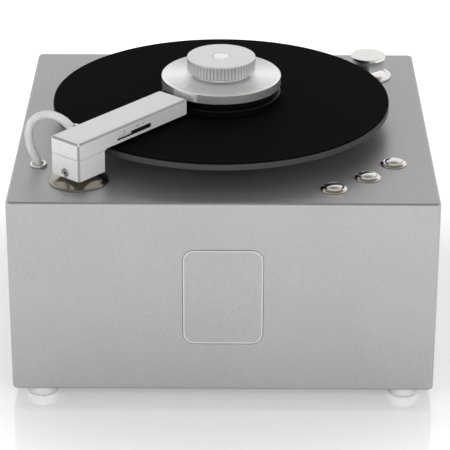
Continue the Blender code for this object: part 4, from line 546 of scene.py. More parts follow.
def hexagon(radius, floor):
    """A prism that cuts a hexagon socket down to its floor."""
    angle = np.pi / 3 * np.arange(6)
    corners = radius * np.stack((np.cos(angle), np.sin(angle)), 1)
    return carried(corners, [(0.0, floor), (0.0, OVERRUN)], GAP / 3, GAP / 3, 1)


def rectangle(low, high):
    """Corners of a rectangle, anticlockwise."""
    return [(low[0], low[1]), (high[0], low[1]), (high[0], high[1]), (low[0], high[1])]


def octagon(low, high, cut):
    """Corners of a rectangle with each corner cut off, anticlockwise."""
    (left, near), (right, far) = low, high
    return [(left + cut, near), (right - cut, near), (right, near + cut), (right, far - cut),
            (right - cut, far), (left + cut, far), (left, far - cut), (left, near + cut)]


def edge_profile(low, high, edge, steps=4):
    """Rows (inset, height) of a block's side, with its lower and upper edge rounded."""
    deep = edge + 3 * MARGIN
    return softened([(deep, low), (0.0, low), (0.0, high), (deep, high)], [0.0, edge, edge, 0.0], steps)


def block(low, high, corner, edge, steps=4):
    """A box with rounded uprights and rounded upper and lower edges."""
    profile = edge_profile(low[2], high[2], edge, steps)
    return carried(rectangle(low[:2], high[:2]), profile, corner, min(corner, edge), steps)


def slab(half_width, half_height, low, high, corner=GAP, edge=GAP, centre=(0.0, 0.0)):
    """A block round a centre."""
    (x, y), wide, tall = centre, half_width, half_height
    return block((x - wide, y - tall, low), (x + wide, y + tall, high), corner, edge)


def stacked(sections):
    """Closed outlines, one joined to the next, with a face over each end."""
    return np.concatenate(sections), capped(len(sections), len(sections[0]))


def laid(shape, origin, first, second, third):
    """Turns and moves a shape: its x, y and z run along three unit vectors from an origin."""
    points, faces = shape
    axes = np.array((first, second, third), float)
    return points @ axes + np.asarray(origin, float), faces


def moved(shape, place):
    """Moves a shape without turning it."""
    return laid(shape, place, (1, 0, 0), (0, 1, 0), UP)


def upright(shape, place):
    """Moves a shape to a place on the casing's top face."""
    return moved(shape, (place[0], place[1], DECK))


def on_arm(shape):
    """Moves a shape from the arm's own frame: x along the arm, y across it, z over the casing."""
    return laid(shape, (*ARM_AXIS, DECK), (*ARM_ALONG, 0.0), (*ARM_ACROSS, 0.0), UP)


def facing_back(shape, origin):
    """Turns a shape so that its z runs along +Y, out of the machine's back, and its y up."""
    return laid(shape, origin, (-1, 0, 0), UP, (0, 1, 0))


def facing_front(shape, origin):
    """Turns a shape so that its z runs along -Y, out of the machine's front, and its y up."""
    return laid(shape, origin, (1, 0, 0), UP, (0, -1, 0))


def smooth_route(points, samples):
    """A Catmull-Rom curve through points.

    On each span, with t from 0 to 1, it is half of
    2b + (c - a) t + (2a - 5b + 4c - d) t^2 + (3b - a - 3c + d) t^3 for neighbours a, b, c, d.
    """
    points = np.asarray(points, float)
    padded = np.concatenate((2 * points[:1] - points[1:2], points, 2 * points[-1:] - points[-2:-1]))
    a, b, c, d = (padded[start:len(padded) - 3 + start, None] for start in range(4))
    t = (np.arange(samples) / samples)[None, :, None]
    curve = (2 * b + (c - a) * t + (2 * a - 5 * b + 4 * c - d) * t**2 + (3 * b - a - 3 * c + d) * t**3) / 2
    return np.concatenate((curve.reshape(-1, 3), points[-1:]))


def tube(route, radius, side, segments=24, bore=0.0):
    """A tube along a route: at each point the circle r (n cos a + m sin a).

    n is square to the tangent and to a fixed vector, and m is square to both. The ends are closed, or
    joined to the bore's wall.
    """
    tangent = np.gradient(route, axis=0)
    tangent /= np.linalg.norm(tangent, axis=1, keepdims=True)
    first = np.cross(np.asarray(side, float), tangent)
    first /= np.linalg.norm(first, axis=1, keepdims=True)
    second = np.cross(tangent, first)
    angle = circle(segments)[None, :, None]
    ring = first[:, None] * np.cos(angle) + second[:, None] * np.sin(angle)
    outer = (route[:, None] + radius * ring).reshape(-1, 3)
    if not bore:
        return outer, capped(len(route), segments)
    inner = (route[::-1, None] + bore * ring[::-1]).reshape(-1, 3)
    return np.concatenate((outer, inner)), grid_faces(2 * len(route), segments, True)


def mesh_from(name, shape):
    """A mesh from points and faces, with coinciding points merged."""
    points, faces = shape
    mesh = bpy.data.meshes.new(name)
    mesh.from_pydata(points.tolist(), [], faces)
    tidy = bmesh.new()
    tidy.from_mesh(mesh)
    bmesh.ops.remove_doubles(tidy, verts=tidy.verts, dist=MERGE)
    tidy.to_mesh(mesh)
    tidy.free()
    return mesh


def linked(name, data):
    """A new object in the scene."""
    made = bpy.data.objects.new(name, data)
    bpy.context.scene.collection.objects.link(made)
    return made


def finished_mesh(item):
    """A copy of an object's mesh with its modifiers applied."""
    graph = bpy.context.evaluated_depsgraph_get()
    return bpy.data.meshes.new_from_object(item.evaluated_get(graph))


def cut_out(target, shapes):
    """Takes closed shapes out of an object's mesh; a shape's third item, a material, lines its cut."""
    tools = []
    for points, faces, *lining in shapes:
        tool = linked("cutter", mesh_from("cutter", (points, faces)))
        modifier = target.modifiers.new("cut", "BOOLEAN")
        modifier.operation = "DIFFERENCE"
        modifier.solver = "EXACT"
        modifier.object = tool
        if lining:
            tool.data.materials.append(lining[0])
            modifier.material_mode = "TRANSFER"
        tools.append(tool)
    mesh = finished_mesh(target)
    target.modifiers.clear()
    old, target.data = target.data, mesh
    bpy.data.meshes.remove(old)
    for tool in tools:
        bpy.data.meshes.remove(tool.data)


def add_piece(name, shape, finish, body, *stands_for, cuts=(), crease=CREASE, slot=None):
    """Adds a finished piece: mesh, cuts, shading, material, body and the solids it replaces; slot is not
    used.
    """
    piece = linked(name, mesh_from(name, shape))
    piece.data.materials.append(LOOKS[finish])
    if cuts:
        cut_out(piece, cuts)
    piece.data.shade_smooth()
    piece.data.set_sharp_from_angle(angle=crease)
    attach(piece, body)
    if stands_for:
        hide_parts(*stands_for)
    return piece


# Materials


class Value:
    """A shader value; sums, products and comparisons of values add Math nodes."""

    def __init__(self, look, socket):
        self.look, self.socket = look, socket

    def math(self, operation, first, second):
        """The result of a Math node."""
        node = self.look.node("ShaderNodeMath", {"operation": operation}, {0: first, 1: second})
        return Value(self.look, node.outputs[0])

    def __add__(self, other):
        return self.math("ADD", self, other)

    def __rsub__(self, other):
        return self.math("SUBTRACT", other, self)

    def __mul__(self, other):
        return self.math("MULTIPLY", self, other)

    def __gt__(self, other):
        return self.math("GREATER_THAN", self, other)

    def __lt__(self, other):
        return self.math("LESS_THAN", self, other)

    __radd__, __rmul__ = __add__, __mul__

    def wave(self):
        """The sine of the value."""
        return self.math("SINE", self, 0.0)

    def between(self, low, high):
        """Runs smoothly from 0 at one value to 1 at another."""
        sockets = {"Value": self, "From Min": low, "From Max": high}
        made = self.look.node("ShaderNodeMapRange", {"interpolation_type": "SMOOTHSTEP"}, sockets)
        return Value(self.look, made.outputs["Result"])


class Graph:
    """A tree of shader nodes."""

    def __init__(self, tree):
        self.tree = tree

    def node(self, kind, options=None, sockets=None):
        """Adds a node: its settings first, then the values or links of its sockets."""
        made = self.tree.nodes.new(kind)
        for name, option in (options or {}).items():
            setattr(made, name, option)
        for name, value in (sockets or {}).items():
            self.feed(made.inputs[name], value)
        return made

    def feed(self, socket, value):
        """Gives a socket a link or a plain value."""
        if isinstance(value, Value):
            value = value.socket
        if isinstance(value, bpy.types.NodeSocket):
            self.tree.links.new(value, socket)
        else:
            socket.default_value = value

    def blend(self, share, first, second):
        """A colour between two colours."""
        made = self.node("ShaderNodeMix", {"data_type": "RGBA"}, {0: share})
        for socket, part in ((made.inputs[6], first), (made.inputs[7], second)):
            self.feed(socket, part if isinstance(part, bpy.types.NodeSocket) else (*part, 1.0))
        return made.outputs[2]

    def parts(self, vector):
        """The x, y and z of a vector, as values."""
        made = self.node("ShaderNodeSeparateXYZ", None, {0: vector})
        return [Value(self, socket) for socket in made.outputs]


class Look(Graph):
    """A material in the making, with a Principled shader."""

    def __init__(self, name, **constants):
        self.material = bpy.data.materials.new(name)
        self.material.use_nodes = True
        super().__init__(self.material.node_tree)
        self.inputs = self.tree.nodes["Principled BSDF"].inputs
        for socket, value in constants.items():
            self.inputs[socket.replace("_", " ")].default_value = value

    def place(self):
        """The point on the piece, in object coordinates."""
        return self.node("ShaderNodeTexCoord").outputs["Object"]

    def from_spindle(self):
        """Distance from the spindle's axis."""
        flat = self.node("ShaderNodeVectorMath", {"operation": "MULTIPLY"},
                         {0: self.place(), 1: (1.0, 1.0, 0.0)})
        made = self.node("ShaderNodeVectorMath", {"operation": "DISTANCE"},
                         {0: flat.outputs[0], 1: (*SPINDLE, 0.0)})
        return Value(self, made.outputs["Value"])

    def noise(self, scale, detail=2.0, roughness=0.5, stretch=(1.0, 1.0, 1.0)):
        """Soft random values from 0 to 1, in spots about 1 / scale metres apart."""
        spot = self.node("ShaderNodeMapping", None, {"Vector": self.place(), "Scale": stretch})
        sockets = {"Vector": spot.outputs[0], "Scale": scale, "Detail": detail, "Roughness": roughness}
        return Value(self, self.node("ShaderNodeTexNoise", None, sockets).outputs["Fac"])

    def tint(self, share, base, spread):
        """A colour that runs from a darker to a lighter form of a base colour."""
        darker = [max(part * (1 - spread), 0.0) for part in base]
        lighter = [min(part * (1 + spread), 1.0) for part in base]
        self.feed(self.inputs["Base Color"], self.blend(share, darker, lighter))

    def rough(self, value):
        """Feeds the roughness."""
        self.feed(self.inputs["Roughness"], value)

    def bump(self, height, distance, strength=1.0):
        """Feeds the normal with a relief of the given height."""
        sockets = {"Height": height, "Distance": distance, "Strength": strength}
        self.feed(self.inputs["Normal"], self.node("ShaderNodeBump", None, sockets).outputs[0])


def grained(name, base, grain, spread, gloss, relief=None, cloud=None, share=1.0, **constants):
    """Most finishes: a fine grain, and wide clouds if any, vary the colour, the gloss and the relief.

    grain and cloud hold a noise's scale, detail, roughness and stretch, and share is the grain's part in
    the colour. gloss is the roughness, with what grain and cloud add to it. relief is the bump's height
    and strength, and a noise of its own if it doesn't follow the grain.
    """
    look = Look(name, **constants)
    fine = look.noise(*grain)
    wide = look.noise(*cloud) if cloud else None
    look.tint(fine * share + wide * (1 - share) if cloud else fine, base, spread)
    value = gloss[0] + gloss[1] * fine
    look.rough(value + gloss[2] * wide if len(gloss) > 2 else value)
    if relief:
        look.bump(look.noise(*relief[2]) if len(relief) > 2 else fine, *relief[:2])
    return look.material


def satin_metal(name, base, roughness, grain=1.0, metallic=0.86):
    """Blasted and anodised aluminium: a fine even grain, with faint wide changes of sheen."""
    return grained(name, base, (800.0, 4.0, 0.8), 0.34 * grain, (roughness - 0.06, 0.08, 0.04),
                   (0.00003 * grain, 0.6), (16.0,), 0.85, Metallic=metallic)


def polished_metal(name, base, roughness):
    """Polished chrome with faint wipe marks."""
    return grained(name, base, (60.0, 4.0, 0.6, (1.0, 1.0, 3.0)), 0.03, (roughness, 0.06),
                   (0.000004, 0.3, (300.0,)), Metallic=1.0)


def matt_rubber(name, base, roughness, pitch=1600.0, relief=0.00004, **constants):
    """Rubber with a fine dull grain."""
    return grained(name, base, (pitch, 3.0, 0.6), 0.25, (roughness - 0.04, 0.08), (relief, 0.6), (25.0,), 0.7,
                   **constants)


def moulded_plastic(name, base, roughness, **constants):
    """Moulded plastic with a faint spark-eroded grain."""
    return grained(name, base, (1400.0, 2.0, 0.5), 0.2, (roughness - 0.05, 0.12), (0.00003, 0.5), (30.0,),
                   0.6, **constants)


def turned_metal(base, pitch=0.00034, relief=0.000065):
    """Faced on a lathe: fine rings round the spindle, which spread reflections along the radius."""
    look = Look("turned_metal", Metallic=0.88)
    fine, radius = look.noise(1500.0, 3.0, 0.6), look.from_spindle()
    rings = (radius * (2 * math.pi / pitch)).wave() * 0.5 + 0.5
    look.tint(fine, base, 0.06)
    look.rough(0.20 + 0.10 * fine)
    look.bump(rings + 0.15 * fine, relief)
    return look.material


def fluted_metal(base, radius, depth, top):
    """Satin metal of the knob, with painted shade darkening the grooves between the flutes' ridges, plain
    over them.
    """
    look = Look("fluted_metal", Metallic=0.9)
    fine, far = look.noise(1500.0, 3.0, 0.6), look.from_spindle()
    groove = (1.0 - far.between(radius - depth, radius - depth * 0.25)) * (look.parts(look.place())[2] < top)
    pale = look.blend(fine, [part * 0.93 for part in base], [min(part * 1.04, 1.0) for part in base])
    # Painted shade: the colour darkens in the grooves between the ridges
    look.feed(look.inputs["Base Color"], look.blend(groove, pale, [part * 0.68 for part in base]))
    look.rough(0.24 + 0.12 * fine + 0.25 * groove)
    look.bump(fine, 0.00001, 0.5)
    return look.material


def cloudy_tube(base):
    """Soft cloudy plastic tube that light passes a little way into."""
    look = Look("hose_plastic", Subsurface_Weight=0.4, Subsurface_Radius=(1.0, 1.0, 1.0),
                Subsurface_Scale=0.002, Transmission_Weight=0.5, Coat_Roughness=0.12, IOR=1.40)
    cloud, fine = look.noise(90.0, 3.0), look.noise(1500.0)
    look.tint(cloud, base, 0.05)
    look.rough(0.24 + 0.10 * fine)
    look.feed(look.inputs["Coat Weight"], 0.4 + 0.2 * cloud)
    look.bump(fine, 0.00001, 0.3)
    return look.material


def circuit_board(base):
    """Lacquered board with darker islands of copper under the lacquer."""
    look = Look("board", Coat_Roughness=0.1)
    cells = look.node("ShaderNodeTexVoronoi", {"feature": "DISTANCE_TO_EDGE"},
                      {"Vector": look.place(), "Scale": 300.0})
    islands = Value(look, cells.outputs["Distance"]) > 0.08
    look.tint(islands, base, 0.35)
    look.rough(0.30 + 0.15 * look.noise(500.0))
    look.bump(islands, 0.00003, 0.4)
    return look.material


LOOKS = {}
# What each finish is called in the slots of the pieces that have it
SLOTS = {
    **dict.fromkeys(("casing", "bead", "silver", "turned", "fluted"), "satin_aluminium"),
    **dict.fromkeys(("inlay", "chrome", "smoked"), "chrome"),
    **dict.fromkeys(("plastic", "ink", "mark"), "black_plastic"),
    "steel": "steel", "platter": "platter_grey", "mat": "mat_rubber", "seal": "seal_rubber",
    "feet": "foot_rubber", "hose": "hose_plastic", "pump_hose": "black_rubber", "velvet": "velvet",
    "paint": "black_paint",
}


def make_looks():
    """All materials, by the name of their finish."""
    shades, clamp, (low, high) = settings().finishes, settings().clamp, corners_of("clamp_knob")
    LOOKS.update({
        "casing": satin_metal("satin_aluminium", shades.casing, 0.41),
        "bead": satin_metal("bead_metal", shades.bead, 0.34, 0.5, 0.5),
        "inlay": satin_metal("inlay_metal", shades.bright, 0.34, 0.5, 0.3),
        "silver": satin_metal("pale_satin", shades.silver, 0.50, 0.8, 0.50),
        # Painted shade: a darker copy of the arm's metal for its chamfers
        "shaded_chamfer": satin_metal("milled_edge", shades.shaded_chamfer, 0.45, 1.0, 0.25),
        "turned": turned_metal(shades.bright),
        "fluted": fluted_metal(shades.knob, (high - low)[0] / 2, clamp.flute_depth, high[2] - clamp.knob_rim),
        "chrome": polished_metal("chrome", shades.chrome, 0.035),
        "smoked": polished_metal("smoked_chrome", shades.smoked, 0.17),
        "steel": grained("steel", shades.steel, (500.0, 2.0, 0.5, (0.2, 0.2, 4.0)), 0.12, (0.28, 0.16),
                         (0.00002, 0.4), Metallic=1.0),
        "platter": grained("platter_grey", shades.platter, (2600.0, 2.0, 0.7), 0.55, (0.46, 0.12),
                           (0.00003, 0.5), (900.0,), 0.75, Metallic=0.1, Specular_IOR_Level=0.3),
        "mat": matt_rubber("mat_rubber", shades.mat, 0.90, Specular_IOR_Level=0.06),
        "seal": grained("seal_rubber", shades.seal, (120.0, 3.0), 0.3, (0.10, 0.10), (0.00001, 0.3, (700.0,)),
                        Specular_IOR_Level=0.08),
        "feet": matt_rubber("foot_rubber", shades.feet, 0.5, 1200.0, 0.00002),
        "hose": cloudy_tube(shades.hose),
        "pump_hose": matt_rubber("black_rubber", shades.plastic, 0.6),
        "velvet": grained("velvet", shades.velvet, (3500.0, 2.0, 0.7), 0.6, (0.92, 0.06), (0.0002, 0.8),
                          (120.0, 3.0), 0.6, Sheen_Weight=0.9, Sheen_Roughness=0.45),
        "paint": grained("black_paint", shades.paint, (1100.0, 2.0, 0.4), 0.3, (0.42, 0.16), (0.00006, 0.7)),
        "plastic": moulded_plastic("black_plastic", shades.plastic, 0.34),
        "tank": moulded_plastic("tank_plastic", shades.tank, 0.4, Subsurface_Weight=0.3,
                                Subsurface_Scale=0.004),
        "board": circuit_board(shades.board),
        "ink": grained("ink", shades.ink, (4000.0,), 0.2, (0.5, 0.2)),
        "mark": grained("ink", shades.hose, (4000.0,), 0.2, (0.5, 0.2)),
    })


# Pieces


class CasingOperator(bpy.types.Operator):
    """The casing with its rounded edges, rear window and holes, and the blank plate in its front"""

    bl_idname = "record_cleaner.casing"
    bl_label = "Casing"

    def execute(self, context):
        sizes, low, high = settings().casing, CASE_LOW, CASE_HIGH
        wall = sizes.wall
        shell = carried(rectangle(low[:2], high[:2]), edge_profile(low[2], high[2], sizes.edge, 8),
                        sizes.corner, steps=8)
        inside = block(low + (wall, wall, -2 * wall), high - wall, sizes.edge / 2, sizes.edge / 4)
        window = block((low[0] + sizes.window_side, low[2] + sizes.window_low, -wall - OVERRUN),
                       (high[0] - sizes.window_side, high[2] - sizes.window_top, OVERRUN),
                       sizes.window_corner, GAP)
        plate_low, plate_high = corners_of("front_badge")
        pocket = block((plate_low[0] - GAP, plate_low[2] - GAP, -(plate_high[1] - low[1]) - GAP),
                       (plate_high[0] + GAP, plate_high[2] + GAP, OVERRUN), sizes.badge_corner + GAP, GAP / 3)
        holes = [(SPINDLE, SPINDLE_HOLE), (ARM_AXIS, ARM_HOLE), (GROMMET, settings().hose.neck + GAP),
                 (middle_of("rear_post")[:2], settings().post.stud + GAP)]
        holes += [(middle_of(f"button_bezel_{n}")[:2], settings().buttons.barrel + GAP) for n in BUTTONS]
        drills = [upright(rod(radius, -2 * wall, OVERRUN, 64), place) for place, radius in holes]
        window, pocket = facing_back(window, (0.0, high[1], 0.0)), facing_front(pocket, (0.0, low[1], 0.0))
        add_piece("casing_shell", shell, "casing", "chassis", "casing",
                  cuts=[inside, window, pocket, *drills])
        self.plate(sizes, plate_low, plate_high)
        return {"FINISHED"}

    def plate(self, sizes, low, high):
        """The blank plate with its bevel, and the bead on it: an ellipse carried round as a ring."""
        outline = rectangle((low[0], low[2]), (high[0], high[2]))
        thick, bevel = high[1] - low[1], sizes.badge_edge
        profile = softened(
            [(3 * MARGIN, 0.0), (0.0, 0.0), (0.0, thick - bevel / 2), (bevel, thick),
             (bevel + 4 * MARGIN, thick)], [0.0, GAP / 3, GAP / 3, GAP / 3, 0.0], 3,
        )
        plate = carried(outline, profile, sizes.badge_corner, steps=10)
        add_piece("blank_plate", facing_front(plate, (0.0, high[1], 0.0)), "casing", "chassis", "front_badge")
        turn = circle(12)
        ring = (sizes.bead_inset - sizes.bead * np.cos(turn), BEAD_RISE * sizes.bead * np.sin(turn))
        bead = carried(outline, np.stack(ring, 1), sizes.badge_corner, steps=10, ring=True)
        add_piece("plate_bead", facing_front(bead, (0.0, low[1], 0.0)), "bead", "chassis")


class FeetOperator(bpy.types.Operator):
    """Four domed rubber feet"""

    bl_idname = "record_cleaner.feet"
    bl_label = "Feet"

    def execute(self, context):
        sizes = settings().casing
        tread, bulge, stem = sizes.foot_tread, sizes.foot_bulge, sizes.foot_stem
        for node in ("foot_front_left", "foot_front_right", "foot_rear_left", "foot_rear_right"):
            low, high = corners_of(node)
            centre, radius = (low + high) / 2, (high - low)[0] / 2
            neck, top, turn = radius - bulge / 4, CASE_LOW[2] - GAP, quarter(9)
            side = np.stack((tread + (radius - tread) * np.sin(turn), bulge * (1 - np.cos(turn))), 1)
            profile = np.concatenate((
                [(0.0, 0.0), (tread - MARGIN, 0.0)], side,
                softened([(radius, bulge), (neck, top), (stem, top)], FOOT_ROUNDING)[1:],
                [(stem, high[2]), (0.0, high[2])],
            ))
            shape = moved(turned(profile, 64), (centre[0], centre[1], 0.0))
            add_piece(node + "_dome", shape, "feet", "chassis", node)
        return {"FINISHED"}


class TurntableOperator(bpy.types.Operator):
    """The platter, its mat, and the spindle with its threaded record pin"""

    bl_idname = "record_cleaner.turntable"
    bl_label = "Turntable"

    def execute(self, context):
        sizes, (radius, base, top) = settings().turntable, spans("platter")
        bore, edge, hub, lift = sizes.pin + GAP, sizes.platter_edge, sizes.hub, base + sizes.hub_drop
        platter = spun([(bore, base), (hub, base), (hub, lift), (radius, lift), (radius, top), (bore, top)],
                       [GAP, GAP, GAP, edge, edge, GAP], 256, closed=True)
        add_piece("platter_disc", upright(platter, SPINDLE), "platter", "turntable", "platter")
        add_piece("mat_disc", upright(washer(bore, "platter_mat", sizes.mat_edge, 256), SPINDLE), "mat",
                  "turntable", "platter_mat")
        self.spindle(sizes, base - GAP)
        return {"FINISHED"}

    def spindle(self, sizes, flange):
        """The shaft; over the mat its radius is R - d (1 + cos(2 pi z / pitch - a)) / 2, a helical thread."""
        _, foot, tip = spans("spindle")
        start, under = spans("platter_mat")[2], flange - sizes.flange_thickness
        shaft = softened(
            [(0.0, foot), (sizes.shaft, foot), (sizes.shaft, under), (sizes.flange, under),
             (sizes.flange, flange), (sizes.pin, flange), (sizes.pin, start)],
            [0.0, GAP, GAP, GAP, GAP, 0.0, 0.0],
        )
        rise = np.linspace(start, tip, int((tip - start) / sizes.pitch * THREAD_STEPS))[1:-1]
        fade = np.clip((tip - rise) / (2 * sizes.pitch), 0.0, 1.0)
        rows = np.concatenate((shaft, np.stack((sizes.pin * fade**0.25, rise), 1), [(0.0, tip)]))
        points, faces = turned(rows, 48)
        angle = np.arctan2(points[:, 1], points[:, 0])
        within = (points[:, 2] > start) & (points[:, 2] < tip)
        wave = sizes.thread * (1 + np.cos(2 * np.pi * points[:, 2] / sizes.pitch - angle)) / 2
        far = np.maximum(np.linalg.norm(points[:, :2], axis=1), MERGE)
        points[:, :2] *= np.where(within, np.maximum(far - wave, MERGE) / far, 1.0)[:, None]
        add_piece("spindle_shaft", upright((points, faces), SPINDLE), "steel", "turntable", "spindle",
                  crease=THREAD_CREASE)


class ClampOperator(bpy.types.Operator):
    """The record clamp: seal, disc, collar, fluted knob and inlay"""

    bl_idname = "record_cleaner.clamp"
    bl_label = "Clamp"

    def execute(self, context):
        sizes, bore = settings().clamp, settings().turntable.pin + GAP
        radius, low, high = spans("clamp_seal")
        step, lip, inner, neck = low + sizes.seal_step, sizes.seal_rounding, sizes.seal_bore, sizes.seal_neck
        seal = spun([(inner, low), (radius, low), (radius, step), (neck, step), (neck, high), (inner, high)],
                    [GAP, lip, lip, GAP, GAP, GAP], 192, 6, True)
        add_piece("seal_ring", upright(seal, SPINDLE), "seal", "clamp", "clamp_seal")
        top, chamfer, boss = spans("clamp_disc")[2], sizes.disc_chamfer, inner - GAP
        under = top - sizes.disc_thickness
        foot = under - sizes.boss_drop
        disc = spun([(bore, foot), (boss, foot), (boss, under), (radius, under), (radius, top - chamfer),
                     (radius - chamfer, top), (bore, top)], GAP, 192, closed=True)
        add_piece("disc", upright(disc, SPINDLE), "turned", "clamp", "clamp_disc")
        add_piece("collar", upright(washer(bore, "clamp_collar", GAP, 128), SPINDLE), "chrome", "clamp",
                  "clamp_collar")
        self.knob(sizes, bore)
        return {"FINISHED"}

    def knob(self, sizes, bore):
        """The knob: below its rim the radius is R - d |sin(n a / 2)|^3, which leaves narrow ridges."""
        (radius, base, top), (inlay, seat, _) = spans("clamp_knob"), spans("knob_inlay")
        seat, pin_top = seat - GAP, spans("spindle")[2] + GAP
        rim, edge = top - sizes.knob_rim, sizes.knob_edge
        profile = softened(
            [(0.0, pin_top), (bore, pin_top), (bore, base), (radius, base), (radius, rim - 2 * GAP),
             (radius, rim), (radius, top), (inlay + GAP, top), (inlay + GAP, seat), (0.0, seat)],
            [0.0, 0.0, GAP, edge, 0.0, 0.0, edge, GAP, GAP, 0.0],
        )
        points, faces = turned(profile, 16 * sizes.flutes)
        far = np.linalg.norm(points[:, :2], axis=1)
        angle = np.arctan2(points[:, 1], points[:, 0])
        depth = sizes.flute_depth * np.abs(np.sin(sizes.flutes * angle / 2)) ** 3
        outside = np.clip((far - radius + edge + MARGIN) / edge, 0.0, 1.0) * (points[:, 2] < rim - GAP)
        points[:, :2] *= (1 - depth * outside / np.maximum(far, MERGE))[:, None]
        add_piece("knob", upright((points, faces), SPINDLE), "fluted", "clamp_grip", "clamp_knob")
        disc = spun([(0.0, seat + GAP), (inlay, seat + GAP), (inlay, top), (0.0, top)],
                    [0.0, GAP, GAP / 2, 0.0], 96, 3)
        add_piece("inlay", upright(disc, SPINDLE), "inlay", "clamp_grip", "knob_inlay")


class ButtonsOperator(bpy.types.Operator):
    """Three push buttons: bevelled bezels with domed caps"""

    bl_idname = "record_cleaner.buttons"
    bl_label = "Buttons"

    def execute(self, context):
        sizes = settings().buttons
        soft, barrel, bevel = sizes.rounding, sizes.barrel, sizes.bevel
        for number in BUTTONS:
            ring, button = f"button_bezel_{number}", f"button_cap_{number}"
            place, (radius, base, rim), (cap, foot, crest) = middle_of(ring)[:2], spans(ring), spans(button)
            hole, floor, shoulder = cap + GAP, base + sizes.floor, crest - sizes.crown
            bezel = spun([(0.0, base), (barrel, base), (barrel, GAP), (radius, GAP),
                          (radius - bevel / 4, rim / 2), (radius - bevel, rim), (hole, rim), (hole, floor),
                          (0.0, floor)],
                         [0.0, soft, 0.0, soft / 2, soft, soft, soft / 2, 0.0, 0.0], 96, 5)
            add_piece(f"bezel_{number}", upright(bezel, place), "chrome", "chassis", ring)
            across = np.linspace(1.0, 0.0, 12)[1:]
            crown = np.stack((cap * across, shoulder + (crest - shoulder) * (1 - across**2)), 1)
            sides = softened([(0.0, foot), (cap, foot), (cap, shoulder), crown[0]],
                             [0.0, soft / 2, soft / 2, 0.0])
            shape = turned(np.concatenate((sides, crown[1:])))
            add_piece(f"cap_{number}", upright(shape, place), "chrome", f"button_{number}", button)
        return {"FINISHED"}


class PostOperator(bpy.types.Operator):
    """The polished post at the rear corner"""

    bl_idname = "record_cleaner.post"
    bl_label = "Rear post"

    def execute(self, context):
        sizes, (radius, foot, top) = settings().post, spans("rear_post")
        waist, wide, stud, dimple = sizes.waist, sizes.waist + sizes.cove, sizes.stud, sizes.dimple
        low, lip, share = sizes.base + GAP, top - sizes.lip, np.linspace(0.0, 1.0, 25)[1:-1]
        flare = np.where(share < 0.5, wide, sizes.top) - waist
        cove = np.stack((waist + flare * np.abs(2 * share - 1) ** COVE_POWER, low + (lip - low) * share), 1)
        below = softened([(0.0, foot), (stud, foot), (stud, GAP), (radius, GAP), (radius, sizes.base),
                          (wide, low), cove[0]], [0.0, GAP, 0.0, GAP, 2 * GAP, 0.0, 0.0])
        above = softened([cove[-1], (sizes.top, lip), (sizes.top, top), (dimple + MARGIN, top), (dimple, top),
                          (0.0, top - dimple)], [0.0, GAP, 1.5 * GAP, 0.0, 0.0, 0.0])
        shape = turned(np.concatenate((below, cove[1:-1], above)), 128)
        add_piece("post", upright(shape, middle_of("rear_post")[:2]), "chrome", "chassis", "rear_post")
        return {"FINISHED"}


